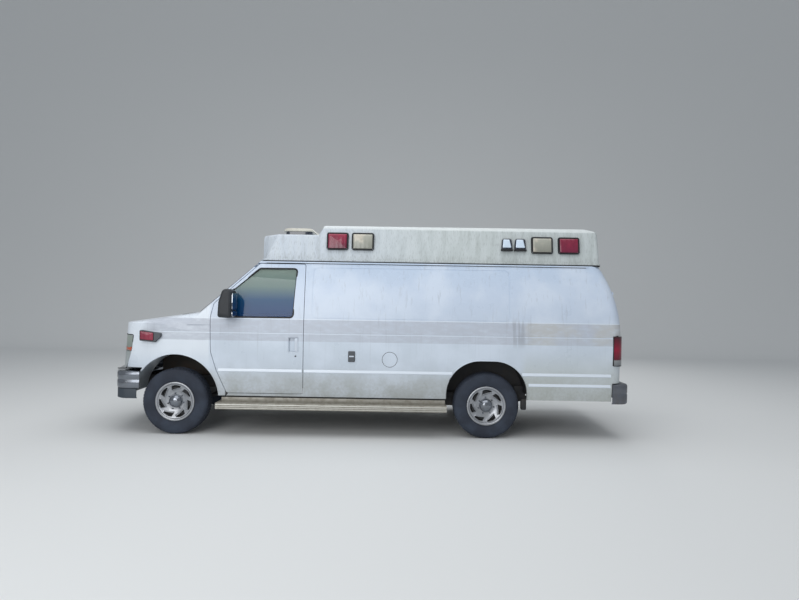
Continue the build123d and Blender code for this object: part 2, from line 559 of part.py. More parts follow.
def roof_lamps(rows):
    """Lamps that stand on both sides of the raised roof."""
    found = []
    for x_from, x_to, z_from, z_to in rows:
        frame_face = outline((x_from, z_from, 18), (x_to, z_from, 18), (x_to, z_to, 18), (x_from, z_to, 18))
        lamp = lamp_layer & along_y(frame_face, -950, -600)
        found += [lamp, other_side(lamp)]
    return found


def end_lamps(centres, width, z_from, z_to, x_from, x_to):
    """Lamps on the front or rear face of the raised roof."""
    found = []
    for centre in centres:
        face = outline((centre - width / 2, z_from, 18), (centre + width / 2, z_from, 18),
                       (centre + width / 2, z_to, 18), (centre - width / 2, z_to, 18))
        found.append(lamp_layer & along_x(face, x_from, x_to))
    return found


red_roof_lamps = [*roof_lamps(RED_LAMPS), *end_lamps((-500, 500), 240, 2110, 2310, 2600, 2800)]
save("clear_lamps", *roof_lamps(CLEAR_LAMPS), *end_lamps((-180, 180), 240, 2110, 2310, 2600, 2800), *roof_lamps(PODS))

# Light bar across the low roof
bar_profile = outline((-975, 2285), (-975, 2330, 10), (-1000, 2352, 6), (-985, 2408, 22), (-672, 2408, 22), (-649, 2352, 6), (-668, 2330, 10), (-640, 2285))
bar_plan = outline((-1020, -640, 90), (-630, -640, 60), (-630, 640, 60), (-1020, 640, 90))
light_bar = (along_y(bar_profile, -640, 640) & along_z(bar_plan, 2200, 2500)) - roof_outer
save("light_bar", light_bar)

# Fender lamps: wedge housings on the fender sides
wedge_side = outline((-2508, 1050, 12), (-2340, 1034, 12), (-2274, 1100, 8), (-2274, 1135, 8), (-2508, 1169, 12))
wedge = along_y(wedge_side, -1022, -900) - clip_outer
save("red_lamps", *red_roof_lamps, wedge, other_side(wedge))

# Floor, firewall and wheelhouses
FLOOR_Z = (610, 645)
STRETCHER_PLATE_Z = 650
floor_core = body_volume(WALL, z_from=300, z_to=2020)
floor = floor_core & block((-1690, REAR_STEP_X), (-990, 990), FLOOR_Z)
firewall = clip_inner & block((-1760, -1738), (-900, 900), (FLOOR_Z[0], 1330))
floor_front = block((-1760, -1680), (-540, 540), FLOOR_Z)
house_side = along_y(rear_arch(14), -1100, 1100)
house = (floor_core & house_side & block((800, 2000), (-990, 990), (500, 900))) - block((0, 3000), (-640, 640), (0, 2000))
house_cut = (along_y(rear_arch(0), -1100, 1100)) & (block((0, 3000), (-1100, -652), (0, 2000)) + block((0, 3000), (652, 1100), (0, 2000)))
tunnel = block((-1800, -1262), (-232, 232), (600, 1000))
wheel_space = along_y(front_arch(FRONT_ARCH_R + 22), 520, 1000)
floor_pan = (floor + firewall + floor_front + house) - house_cut - wheel_space - other_side(wheel_space) - tunnel
floor_pan += block((300, 1700), (-250, 210), (FLOOR_Z[1], STRETCHER_PLATE_Z))
STRETCHER_BOLTS = [(x, y) for x in (400, 1600) for y in (-170, 130)]
for x, y in STRETCHER_BOLTS:
    floor_pan -= Pos(x, y, 628) * Cylinder(5.5, 60)
save("floor_pan", floor_pan)

# Chassis frame: two rails and cross-members
RAIL_Y, RAIL_WIDTH, RAIL_Z = 392, 80, (460, 600)
CROSS_MEMBERS = [(-2690, 490, 590), (-900, 566, 598), (350, 566, 598), (900, 566, 598), (2000, 480, 590), (2700, 480, 590)]
chassis = block((-2740, 2790), (RAIL_Y - RAIL_WIDTH / 2, RAIL_Y + RAIL_WIDTH / 2), RAIL_Z)
chassis += other_side(chassis)
for x, z_low, z_high in CROSS_MEMBERS:
    chassis += block((x - 35, x + 35), (-RAIL_Y, RAIL_Y), (z_low, z_high))
chassis += block((FRONT_AXLE_X - 110, FRONT_AXLE_X + 110), (-RAIL_Y - 40, RAIL_Y + 40), (425, 461))
for x_pivot, y_pivot in ((FRONT_AXLE_X - 60, -250), (FRONT_AXLE_X + 60, 250)):
    chassis += block((x_pivot - 38, x_pivot + 38), (y_pivot - 25, y_pivot + 25), (400, 430))
for mark in (1, -1):
    low, high = sorted((mark * 372, mark * 412))
    chassis += block((2420, 2830), (low, high), (396, RAIL_Z[0]))
chassis += block((2780, 2830), (-412, 412), (396, 436)) + block((2700, 2960), (-32, 32), (396, 450))
save("chassis_frame", chassis)

# Engine with gearbox, propeller shaft, exhaust and fuel tank
engine = block((-2520, -1800), (-300, 300), (640, 1130)) + along_x(outline((-240, 470), (240, 470), (300, 660), (-300, 660)), -2480, -1850)
gearbox = bar_x(0, 580, 165, -1801, -1640) + bar_x(0, 520, 100, -1641, -1270) + bar_x(0, 505, 58, -1271, -1000)
save("engine", engine + gearbox)
shaft_start, shaft_end = Vector(-992, 0, 505), Vector(1250, 0, 379)
shaft = Plane(shaft_start, z_dir=shaft_end - shaft_start) * Cylinder(40, (shaft_end - shaft_start).length, align=(Align.CENTER, Align.CENTER, Align.MIN))
exhaust = bar_x(620, 440, 30, -1450, 0) + bar_x(620, 440, 72, 0, 600) + bar_x(620, 440, 30, 600, 960)
save("exhaust", exhaust)
tank = along_x(outline((-745, 330, 50), (-450, 330, 50), (-450, 590, 40), (-745, 590, 40)), -450, 650)
save("fuel_tank", tank)

# Front axle: two crossed beams with forks that hold the kingpins
FORK_LOW, FORK_HIGH = (258, 284), (456, 482)


def front_beam(x_centre, pivot_y):
    """One swing beam from its pivot to the fork on the right-hand wheel."""
    beam = along_y(outline((x_centre - 32, 300, 8), (x_centre + 32, 300, 8), (x_centre + 32, 400, 8), (x_centre - 32, 400, 8)), pivot_y, 690)
    post = block((FRONT_AXLE_X - 28, FRONT_AXLE_X + 28), (672, 716), (FORK_LOW[0], FORK_HIGH[1]))
    link = block((min(x_centre, FRONT_AXLE_X) - 28, max(x_centre, FRONT_AXLE_X) + 28), (640, 716), (318, 395))
    fork = beam + post + link
    for low, high in (FORK_LOW, FORK_HIGH):
        fork += block((FRONT_AXLE_X - 28, FRONT_AXLE_X + 28), (700, KINGPIN_Y), (low, high))
        fork += Pos(FRONT_AXLE_X, KINGPIN_Y, (low + high) / 2) * Cylinder(28, high - low)
    return fork


beam_right = front_beam(FRONT_AXLE_X - 60, -260)
beam_left = other_side(front_beam(FRONT_AXLE_X + 60, -260))
arm_right = Plane((FRONT_AXLE_X - 30, 560, 350), z_dir=(700, -170, 70)) * Cylinder(22, 680, align=(Align.CENTER, Align.CENTER, Align.MIN))
arm_left = other_side(Plane((FRONT_AXLE_X + 60, 560, 350), z_dir=(640, -170, 70)) * Cylinder(22, 620, align=(Align.CENTER, Align.CENTER, Align.MIN)))
save("front_axle", beam_right + arm_right, beam_left + arm_left)


# Steering knuckle: barrel between the fork arms, spindle and backing plate
def knuckle(mark):
    """Knuckle on the left (-1) or right (1) side."""
    barrel = Pos(FRONT_AXLE_X, KINGPIN_Y, HUB_Z) * Cylinder(27, FORK_HIGH[0] - FORK_LOW[1] - 10)
    spindle = bar_y(FRONT_AXLE_X, HUB_Z, SPINDLE_R, KINGPIN_Y, FRONT_TRACK / 2 + 50)
    plate = bar_y(FRONT_AXLE_X, HUB_Z, 130, KINGPIN_Y + 30, KINGPIN_Y + 38)
    steer_arm = block((FRONT_AXLE_X, FRONT_AXLE_X + 140), (KINGPIN_Y - 50, KINGPIN_Y - 20), (290, 310))
    steer_arm += block((FRONT_AXLE_X - 20, FRONT_AXLE_X + 30), (KINGPIN_Y - 50, KINGPIN_Y), (290, 310))
    piece = barrel + spindle + plate + steer_arm
    return piece if mark > 0 else other_side(piece)


save("knuckle_left", knuckle(-1))
save("knuckle_right", knuckle(1))

# Rear axle with its leaf springs
axle = bar_y(REAR_AXLE_X, HUB_Z, 45, -740, 740) + bar_y(REAR_AXLE_X, HUB_Z, SPINDLE_R, -REAR_TRACK / 2 - 50, REAR_TRACK / 2 + 50)
axle += Pos(REAR_AXLE_X, 0, HUB_Z) * Sphere(150)
axle += bar_x(0, HUB_Z + 8, 55, REAR_AXLE_X - 148, REAR_AXLE_X)
spring_arc = make_face([
    ThreePointArc((REAR_AXLE_X - 640, 420), (REAR_AXLE_X, 300), (REAR_AXLE_X + 680, 430)),
    Line((REAR_AXLE_X + 680, 430), (REAR_AXLE_X + 680, 462)),
    ThreePointArc((REAR_AXLE_X + 680, 462), (REAR_AXLE_X, 340), (REAR_AXLE_X - 640, 452)),
    Line((REAR_AXLE_X - 640, 452), (REAR_AXLE_X - 640, 420)),
])
for mark in (1, -1):
    low, high = sorted((mark * 450, mark * 520))
    axle += along_y(spring_arc, low, high)
    axle += block((REAR_AXLE_X + 640, REAR_AXLE_X + 700), (low, high), (430, 560))
    axle += block((REAR_AXLE_X - 660, REAR_AXLE_X - 600), (low, high), (420, 560))
save("rear_axle", axle + shaft)


# Wheels: rim, slotted cover and centre cap, then the tyre
def wheel_parts():
    """Right-hand wheel and tyre about the Y axis, with the outside towards +Y."""
    half = RIM_WIDTH / 2
    rim_profile = make_face(Polyline(
        (RIM_R - 13, -half + 6), (FLANGE_R, -half), (FLANGE_R, -half + 8), (RIM_R, -half + 14), (RIM_R, half - 14),
        (FLANGE_R, half - 8), (FLANGE_R, half), (RIM_R - 15, half - 8), (RIM_R - 60, 70), (80, 62), (72, 84), (66, 108),
        (30, 116), (0, 118), (0, 58), (SPINDLE_R + 0.5, 58), (SPINDLE_R + 0.5, -10), (62, -10), (62, 30), (80, 46),
        (RIM_R - 58, 54), (RIM_R - 13, 66), close=True))
    wheel = revolve(rim_profile, axis=Axis.Y)
    slot = outline((-15, -42, 12), (15, -42, 12), (15, 42, 12), (-15, 42, 12))
    for turn in range(7):
        angle = 7 + turn * 360 / 7
        place = Rot(0, angle, 0) * Pos(0, 0, 160) * Rot(0, 14, 0)
        wheel -= place * along_y(slot, 40, 95)
    tyre_half = TYRE_WIDTH / 2
    tyre_profile = make_face([
        Line((RIM_R + 0.2, -half + 16), (RIM_R + 0.2, half - 16)),
        Line((RIM_R + 0.2, half - 16), (FLANGE_R + 1, half - 8)),
        ThreePointArc((FLANGE_R + 1, half - 8), (290, tyre_half), (350, tyre_half - 14)),
        ThreePointArc((350, tyre_half - 14), (363, tyre_half - 26), (TYRE_R, tyre_half - 46)),
        Line((TYRE_R, tyre_half - 46), (TYRE_R, -tyre_half + 46)),
        ThreePointArc((350, -tyre_half + 14), (363, -tyre_half + 26), (TYRE_R, -tyre_half + 46)),
        ThreePointArc((FLANGE_R + 1, -half + 8), (290, -tyre_half), (350, -tyre_half + 14)),
        Line((FLANGE_R + 1, -half + 8), (RIM_R + 0.2, -half + 16)),
    ])
    return wheel, revolve(tyre_profile, axis=Axis.Y)


right_wheel, right_tyre = wheel_parts()
WHEELS = [("front", FRONT_AXLE_X, FRONT_TRACK / 2), ("rear", REAR_AXLE_X, REAR_TRACK / 2)]
for end, x, y in WHEELS:
    for side in ("left", "right"):
        for kind, piece in (("wheel", right_wheel), ("tyre", right_tyre)):
            placed = Pos(x, y, HUB_Z) * piece
            save(f"{kind}_{end}_{side}", placed if side == "right" else other_side(placed))

# Running boards with ribbed tops and brackets to the frame
board_section = outline((760, 340), (1050, 300, 10), (1050, 352, 12), (1030, 372, 6), (800, 375), (760, 375))
board = along_x(board_section, -1642, 939)
for rib in range(8):
    y = 830 + rib * 25
    board -= block((-1620, 917), (y, y + 10), (370, 380))
for x in (-1200, -700, 690):
    board += block((x - 25, x + 25), (RAIL_Y + RAIL_WIDTH / 2, 800), (345, 372))
    board += block((x - 25, x + 25), (RAIL_Y + RAIL_WIDTH / 2, 462), (345, 560))
save("running_boards", board, other_side(board))

# Cab fittings
seat_profile = make_face(Polyline((-1240, 900), (-1180, 820), (-760, 800), (-730, 860), (-640, 1480), (-720, 1500), (-850, 970), (-1220, 985), close=True))
seats = []
for mark in (1, -1):
    low, high = sorted((mark * 260, mark * 760))
    seat = along_y(seat_profile, low, high) + block((-1150, -800), (low + 60, high - 60), (645, 830))
    seats.append(seat)
save("front_seats", *seats)
dash_profile = outline((-1720, 1000, 20), (-1560, 960, 30), (-1420, 1120, 60), (-1440, 1270, 60), (-1736, 1330, 20))
dashboard = along_y(dash_profile, -900, 900)
column = Plane((-1440, -500, 1180), z_dir=(150, 0, 75)) * Cylinder(30, 120, align=(Align.CENTER, Align.CENTER, Align.MIN))
steering_wheel = Plane((-1335, -500, 1235), z_dir=(150, 0, 75)) * (Torus(190, 14) + Cylinder(60, 30) + Box(380, 30, 12) )
save("steering_wheel", steering_wheel + column - dashboard)
cover = along_x(outline((-240, 645), (240, 645), (190, 1010, 60), (-190, 1010, 60)), -1690, -1250)
cover -= along_x(outline((-214, 640), (214, 640), (166, 984, 40), (-166, 984, 40)), -1700, -1276)
save("dashboard", dashboard + cover)

# Bulkhead, cabinets and bench in the patient space
inner_zone = body_volume(WALL + 2, z_from=300, z_to=2020)
bulkhead = (inner_zone & block((-640, -610), (-960, 960), (645, BODY_TOP_Z))) - block((-700, -500), (-260, 260), (646, 1850))
cabinets = (inner_zone & block((-605, 2300), (-960, -560), (645, 1960))) - along_y(rear_arch(20), -1000, -500)
bench = (inner_zone & block((620, 2300), (520, 960), (645, 1080))) - along_y(rear_arch(20), 500, 1000)
save("patient_fittings", bulkhead + cabinets, bench)
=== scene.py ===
# %% [markdown]
# # A raised-roof ambulance in Blender
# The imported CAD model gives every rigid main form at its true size. This script dresses it: it gives each
# part the finish of the real material and adds the small pieces that a drawing of solids leaves out, such as
# gaskets, lamp bezels, tread and wheel nuts. Every new shape is a surface worked out with numpy.

# %% Load the frame and keep its box
import functools
import math

import bpy
import numpy as np
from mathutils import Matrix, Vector
from mathutils.bvhtree import BVHTree


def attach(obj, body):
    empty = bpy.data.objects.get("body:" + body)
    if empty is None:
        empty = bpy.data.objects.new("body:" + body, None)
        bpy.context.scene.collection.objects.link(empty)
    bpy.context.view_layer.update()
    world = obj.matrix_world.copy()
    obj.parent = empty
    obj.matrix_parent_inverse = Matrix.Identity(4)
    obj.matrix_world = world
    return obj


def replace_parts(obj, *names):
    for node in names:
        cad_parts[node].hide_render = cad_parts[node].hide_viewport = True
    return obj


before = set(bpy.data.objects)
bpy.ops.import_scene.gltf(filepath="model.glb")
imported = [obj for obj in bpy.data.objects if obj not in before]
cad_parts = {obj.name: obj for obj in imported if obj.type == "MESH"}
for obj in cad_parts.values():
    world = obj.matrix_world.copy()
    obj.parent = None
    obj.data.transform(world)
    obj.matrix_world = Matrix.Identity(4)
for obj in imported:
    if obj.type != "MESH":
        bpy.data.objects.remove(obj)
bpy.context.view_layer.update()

# %% [markdown]
# Drawings of vehicles are in millimetres, and Blender works in metres, so one number converts them. The
# driving places below are the ones that several pieces share: the axles, the hubs and the body's top.

# %% Shared sizes in millimetres
MM = 0.001
FRONT_AXLE_X, REAR_AXLE_X, HUB_Z = -2114, 1391, 370
AXLES = {"front": FRONT_AXLE_X, "rear": REAR_AXLE_X}
WHEEL_Y = {"front": 1763 / 2, "rear": 1707 / 2}
BODY_TOP_Z = 1971
SIDES = {"left": -1, "right": 1}
print("wheelbase", REAR_AXLE_X - FRONT_AXLE_X, "mm")

# %% [markdown]
# ## Colours and materials
# Paint charts give colours as sRGB hex values, while the renderer mixes light in linear numbers, so one
# function turns the first into the second. Weathered surfaces are layers, as on the real thing: a base colour
# and then haze, dust and runs, each laid over the last as far as a mask says. A small class holds such a
# stack.

# %% Colours, plain finishes and layered ones


def linear(colour):
    """sRGB hex to linear: c / 12.92 for a channel up to 0.04045, else ((c + 0.055) / 1.055) ** 2.4."""
    channel = np.array([int(colour[i:i + 2], 16) for i in (1, 3, 5)]) / 255
    value = np.where(channel <= 0.04045, channel / 12.92, ((channel + 0.055) / 1.055) ** 2.4)
    return (*value.tolist(), 1.0)


def finish(name, colour, roughness, metallic=0.0, **sockets):
    """A plain Principled material; sockets are further inputs, with spaces written as underscores."""
    material = bpy.data.materials.new(name)
    material.use_nodes = True
    inputs = material.node_tree.nodes["Principled BSDF"].inputs
    inputs["Base Color"].default_value = linear(colour)
    for key, value in {"Roughness": roughness, "Metallic": metallic, **sockets}.items():
        inputs[key.replace("_", " ")].default_value = value
    return material


class Recipe:
    """A layered material; its nodes read Object coordinates x, y and z in metres."""

    def __init__(self, name, colour, roughness, metallic=0.0, **sockets):
        self.material = finish(name, colour, roughness, metallic, **sockets)
        self.tree = self.material.node_tree
        self.place = self.add("TexCoord").outputs["Object"]
        self.x, self.y, self.z = self.add("SeparateXYZ", {0: self.place}).outputs
        self.colour = colour

    def add(self, kind, inputs=None, **settings):
        """Add one shader node; inputs are values or sockets to link, by name or number."""
        node = self.tree.nodes.new("ShaderNode" + kind)
        for key, value in settings.items():
            setattr(node, key, value)
        for key, value in (inputs or {}).items():
            if isinstance(value, bpy.types.NodeSocket):
                self.tree.links.new(value, node.inputs[key])
            else:
                node.inputs[key].default_value = value
        return node

    def math(self, operation, first, second=0.0):
        """One step of arithmetic between two values or sockets."""
        return self.add("Math", {0: first, 1: second}, operation=operation).outputs[0]

    def times(self, *factors):
        """Product of values or sockets."""
        return functools.reduce(functools.partial(self.math, "MULTIPLY"), factors)

    def ramp(self, value, low, high, bottom=0.0, top=1.0):
        """Smooth step of a value from low to high, as a number from bottom to top."""
        inputs = {"Value": value, "From Min": low, "From Max": high, "To Min": bottom, "To Max": top}
        return self.add("MapRange", inputs, interpolation_type="SMOOTHSTEP").outputs[0]

    def between(self, low, high, edge=0.004):
        """1 between two heights and 0 outside, with soft edges."""
        rise = self.ramp(self.z, low - edge, low + edge)
        return self.times(rise, self.ramp(self.z, high - edge, high + edge, 1.0, 0.0))

    def noise(self, cells_per_metre, stretch=(1, 1, 1), detail=4.0):
        """Cloudy noise; stretch above 1 packs it closer along that axis."""
        scaled = self.add("Mapping", {"Vector": self.place, "Scale": stretch}).outputs[0]
        inputs = {"Vector": scaled, "Scale": cells_per_metre, "Detail": detail, "Roughness": 0.55}
        return self.add("TexNoise", inputs).outputs[0]

    def bump(self, height, strength, distance):
        """Normal that follows a height."""
        return self.add("Bump", {"Height": height, "Strength": strength, "Distance": distance}).outputs[0]

    def blend(self, mask, first, second, kind="MIX"):
        """Mix two colours, each a hex value or a socket."""
        pair = [linear(c) if isinstance(c, str) else c for c in (first, second)]
        inputs = {0: mask, 6: pair[0], 7: pair[1]}
        return self.add("Mix", inputs, data_type="RGBA", blend_type=kind).outputs[2]

    def layer(self, mask, colour, kind="MIX"):
        """Lay one more colour over the stack."""
        self.colour = self.blend(mask, self.colour, colour, kind)

    def tones(self, stops):
        """Lay on a colour that runs through stops (height in m, hex) in straight steps."""
        low, high = stops[0][0], stops[-1][0]
        share = self.add("MapRange", {"Value": self.z, "From Min": low, "From Max": high}).outputs[0]
        node = self.add("ValToRGB", {"Fac": share})
        elements = node.color_ramp.elements
        for at, colour in stops[1:-1]:
            elements.new((at - low) / (high - low)).color = linear(colour)
        elements[0].color, elements[-1].color = linear(stops[0][1]), linear(stops[-1][1])
        self.colour = node.outputs[0]

    def done(self, **links):
        """Link the stack and further sockets to the shader, and give back the material."""
        inputs = self.tree.nodes["Principled BSDF"].inputs
        for key, socket in {"Base_Color": self.colour, **links}.items():
            self.tree.links.new(socket, inputs[key.replace("_", " ")])
        return self.material


print("helpers for colours and nodes are ready")

# %% [markdown]
# ### Oxidised white enamel
# The body is sprayed with white enamel and has stood outside for years. Above the belt it still has a soft
# shine. Two long bands where striping film was peeled off have kept a grey haze, a film of dust lies over the
# sills, and rain has drawn thin vertical runs. Light is painted in too: the tone darkens towards the sill as
# painted shade, the hood and fenders are painted lighter, and thin painted highlights run along the rims of
# the bands. All of that depends on height, so the colour is a stack of smooth steps along Z with noise to
# break their edges.

# %% White enamel with ghost bands and runs
SEAM_X, FENDER_X = 1.74, -1.73
# Tone of the enamel from the sill to the drip rail: height in metres and colour. It darkens towards the
# sill as painted shade, where the side curves under.
ENAMEL_AND_SHADE_TONES = [
    (0.44, "#A8AEB0"), (0.62, "#B3BABE"), (0.78, "#C3CDD8"), (1.06, "#C7D2DE"), (1.32, "#C3CFDF"),
    (1.62, "#C3D0E2"), (1.96, "#BACADE")]
enamel = Recipe("oxidised_white_enamel", "#C3D0E1", 0.36, Coat_Weight=0.2, Coat_Roughness=0.2)
ramp, times, between, x, z = enamel.ramp, enamel.times, enamel.between, enamel.x, enamel.z
clouds = enamel.noise(2.6, detail=7)
rear = ramp(x, SEAM_X, SEAM_X + 0.10)
enamel.tones(ENAMEL_AND_SHADE_TONES)
# Paler patches of shine, the hood and fenders painted lighter as painted light, and the greyer rear corner
enamel.layer(ramp(clouds, 0.40, 0.66, 0.0, 0.55), "#D5DFEC")
enamel.layer(times(ramp(x, FENDER_X + 0.02, FENDER_X - 0.02), ramp(z, 0.7, 1.0), 0.75), "#E2E9F0")
enamel.layer(times(rear, ramp(z, 1.06, 0.70), 0.5), "#BBC1BB")
# Painted highlights along the rims of the two bands, and the haze inside them on the flanks
highlight_rims = enamel.math("ADD", between(1.313, 1.320, 0.002), between(1.151, 1.158, 0.002))
enamel.layer(times(highlight_rims, 0.8), "#DFE7F0")
bands = enamel.math("ADD", between(1.160, 1.311), times(between(1.068, 1.150), 0.9))
broken = ramp(enamel.noise(9, (1, 1, 2.5), 6), 0.25, 0.6, 0.55, 1.0)
flank = ramp(enamel.math("ABSOLUTE", enamel.y), 0.835, 0.85)
haze = times(bands, broken, flank, ramp(x, -2.55, -2.35))
haze_tone = enamel.blend(times(rear, ramp(clouds, 0.4, 0.6)), "#B4BAC5", "#B5B6B5")
enamel.layer(times(haze, 0.85), haze_tone)
# Dust over the sills, rain runs, and the smear under the seam
specks = ramp(enamel.noise(34, detail=5), 0.3, 0.75, 0.35, 1.0)
enamel.layer(times(ramp(z, 0.86, 0.44), specks, 0.5), "#96968F")
runs = ramp(enamel.noise(1.0, (34, 34, 0.9), 5), 0.56, 0.74)
enamel.layer(times(runs, ramp(z, 0.7, 1.25, 0.2, 1.0), 0.26), "#8F959B")
near_seam = ramp(enamel.math("ABSOLUTE", enamel.math("SUBTRACT", x, SEAM_X)), 0.20, 0.03)
drips = ramp(enamel.noise(1.0, (24, 24, 0.5), 2), 0.47, 0.60)
enamel.layer(times(near_seam, drips, between(1.06, 1.34, 0.05), 0.38), "#84888E")
PAINT = enamel.done(Roughness=enamel.math("ADD", ramp(clouds, 0.3, 0.7, 0.26, 0.42), times(haze, 0.18)))
print("made", PAINT.name)

# %% [markdown]
# ### Chalky gelcoat
# The raised roof is laid up in a mould from glass fibre and polyester, with a white gelcoat as its skin. Sun
# turns gelcoat chalky, so it has hardly any gloss, and algae and soot run down it in close vertical streaks
# that start under the lamps and the upper edge. It is cooler at the front, and the rolled edge and the top
# are painted lighter as a painted highlight.

# %% Chalky gelcoat with two widths of streak
gelcoat = Recipe("chalky_gelcoat", "#BEC6C9", 0.62)
ramp, times, z = gelcoat.ramp, gelcoat.times, gelcoat.z
hair = gelcoat.noise(1.0, (110, 110, 1.4), 4)
wide = gelcoat.noise(1.0, (14, 14, 0.8), 5)
gelcoat.colour = gelcoat.blend(ramp(gelcoat.x, -1.0, 1.2), "#C6CFD9", "#BAC2C2")
gelcoat.layer(ramp(wide, 0.35, 0.60, 0.35, 0.0), "#D3DADD")
gelcoat.layer(times(ramp(hair, 0.50, 0.70), 0.36), "#868C8C")
gelcoat.layer(times(ramp(wide, 0.54, 0.72), 0.34), "#969C9B")
gelcoat.layer(times(ramp(z, 2.10, 1.98), ramp(hair, 0.4, 0.62, 0.3, 1.0), 0.36), "#8D918D")
# Painted highlight on the rolled upper edge and the top of the tall part
gelcoat.layer(times(ramp(z, 2.355, 2.370), 0.6), "#E0E6E6")
GELCOAT = gelcoat.done(Normal=gelcoat.bump(gelcoat.noise(90, detail=3), 0.08, 0.002))
print("made", GELCOAT.name)

# %% [markdown]
# ### Dusty surfaces
# Tyres, chassis paint, chrome and aluminium all wear the same pale dust, thrown up by the wheels. One
# recipe mixes a base colour with a dust colour by noise, thicker near the ground, and each finish calls it
# with its own real values.

# %% One recipe for surfaces with dust on them


def dusty(name, colour, dust, amount, roughness, grain=14, metallic=0.0, high=0.9, dull=0.8, bump=0.0):
    """Base colour with dust mixed in by noise; amount is the share of dust at the ground, less above."""
    recipe = Recipe(name, colour, roughness, metallic)
    patches = recipe.ramp(recipe.noise(grain, detail=6), 0.38, 0.66)
    factor = recipe.times(patches, recipe.ramp(recipe.z, high, 0.05, amount * 0.45, amount))
    recipe.layer(factor, dust)
    links = {"Roughness": recipe.ramp(factor, 0.0, 0.8, roughness, dull)}
    if bump:
        links["Normal"] = recipe.bump(recipe.noise(220, detail=3), bump, 0.001)
    return recipe.done(**links)


# Vulcanised rubber with carbon black: dark, matt, greyed by ozone and pale dust
RUBBER = dusty("weathered_tyre_rubber", "#252B37", "#3F4856", 0.6, 0.80, grain=5, dull=0.92, bump=0.12)
# The body's enamel on narrow ledges, painted lighter as a painted highlight where the ledges face up
LEDGE_HIGHLIGHT = finish("enamel_painted_highlight", "#DCE5EF", 0.35, Coat_Weight=0.2)
# Nickel and chromium plated steel: a faintly blue mirror, dulled by dried rain, more so at the rear
CHROME = dusty("chromium_plate", "#878C94", "#716F6A", 0.35, 0.14, grain=22, metallic=1.0, dull=0.45)
GREY_BUMPER = dusty(
    "dulled_chromium_plate", "#6C7078", "#6A6763", 0.5, 0.34, grain=16, metallic=0.7, dull=0.6)
# Injection-moulded ABS sprayed silver, as on wheel covers, and the steel rim behind it in brake dust
SILVER = dusty("silver_painted_abs", "#A6A9AE", "#7B7A77", 0.30, 0.32, grain=20, metallic=0.6, dull=0.6)
RIM_STEEL = finish("brake_dusted_steel", "#3A3B3D", 0.6, metallic=0.4)
# Extruded aluminium tread, beige with soil in its grooves, and its edge that shoes and washes keep bright
ALUMINIUM = dusty("soiled_anodised_aluminium", "#9C9990", "#7D776B", 0.6, 0.45, grain=18, metallic=0.3)
BRIGHT_EDGE = finish("polished_aluminium_edge", "#CFCFC8", 0.35, metallic=0.5)
# Black chassis paint with soil and surface rust, bare cast iron, and aluminised tube with brown heat rust
CHASSIS = dusty("chassis_paint", "#1C1D20", "#3F3831", 0.6, 0.55, grain=11)
IRON = dusty("bare_cast_iron", "#4B4743", "#5E4A38", 0.6, 0.72, grain=16, metallic=0.3)
EXHAUST = dusty("aluminised_steel_tube", "#77736C", "#6B5038", 0.8, 0.5, grain=13, metallic=0.7)
# Grained polypropylene, turned grey by the sun, the valance's own grey one, and the EPDM rubber of seals
PLASTIC = dusty("grained_black_polypropylene", "#1D2126", "#3C4147", 0.5, 0.50, grain=12, high=2.0, bump=0.2)
VALANCE_GREY = finish("dark_grey_polypropylene", "#333C45", 0.55)
SEAL = finish("epdm_seal", "#101216", 0.62)
print("made the dusty finishes and the seal")

# %% [markdown]
# ### Glass, lenses and cab trim
# Laminated and tempered glass is tinted against the sun. A standing pane mirrors what is round it, blue low
# down and grey-green high up. The plain studio has nothing to mirror, so the tint itself follows height. Lamp
# lenses are moulded acrylic with prisms inside, which is why a lamp looks like a bright patch in a darker
# field: a fluted bump stands for the prisms, and the bright patch is a painted highlight.

# %% Glass and lenses
glass = Recipe(
    "tinted_safety_glass", "#4A6F86", 0.0, Transmission_Weight=0.5, IOR=1.5, Specular_IOR_Level=0.15)
glass.tones([(1.34, "#0F4A86"), (1.53, "#1F5E90"), (1.68, "#86A09C"), (1.88, "#A8BAB0")])
GLASS = glass.done()


def prism_lens(name, stops, flutes_per_metre, axis, painted_glint=0.0, **sockets):
    """Moulded acrylic: tone by height, a paler heart by noise that is a painted highlight, and fluted bumps
    across one axis.
    """
    lens = Recipe(name, stops[0][1], 0.28, Coat_Weight=0.35, Coat_Roughness=0.1, **sockets)
    lens.tones(stops)
    # The paler heart is a painted highlight
    lens.layer(lens.ramp(lens.noise(7.5, detail=2), 0.44, 0.62, 0.0, painted_glint), "#F2E6E0", "SOFT_LIGHT")
    wave = lens.add("TexWave", {"Vector": lens.place, "Scale": flutes_per_metre / 20}, bands_direction=axis)
    return lens.done(Normal=lens.bump(wave.outputs[1], 0.45, 0.002))


RED_LENS = prism_lens(
    "red_acrylic_lens", [(1.0, "#7E1733"), (2.12, "#5E1030"), (2.30, "#841938")], 125, "X", 0.45)
CLEAR_LENS = prism_lens("clear_acrylic_lens", [(2.12, "#85867D"), (2.30, "#ABACA1")], 125, "X", 0.9)
TAIL_TONES = [(0.85, "#6E7276"), (0.912, "#8A8E90"), (0.918, "#5A0A22"), (1.03, "#8E0C30"), (1.18, "#340C18")]
TAIL_LENS = prism_lens("red_tail_lens", TAIL_TONES, 60, "Z")
HEAD_TONES = [(0.73, "#B7BEC0"), (0.915, "#A9B2B2"), (0.925, "#56605F"), (0.94, "#8B9690"), (1.10, "#A3AEA6")]
HEADLAMP_LENS = prism_lens("clear_headlamp_lens", HEAD_TONES, 70, "Y", Transmission_Weight=0.25)
AMBER = finish("amber_acrylic", "#B4502E", 0.25, Coat_Weight=0.8)
DARK_LENS = finish("dark_blue_acrylic", "#1B2534", 0.15, Coat_Weight=1.0)
FROSTED_LENS = finish("frosted_white_acrylic", "#CFE0F0", 0.18, Coat_Weight=1.0)
MIRROR = finish("silvered_mirror_glass", "#C9CED4", 0.02, metallic=1.0)
print("made the glass and the lenses")

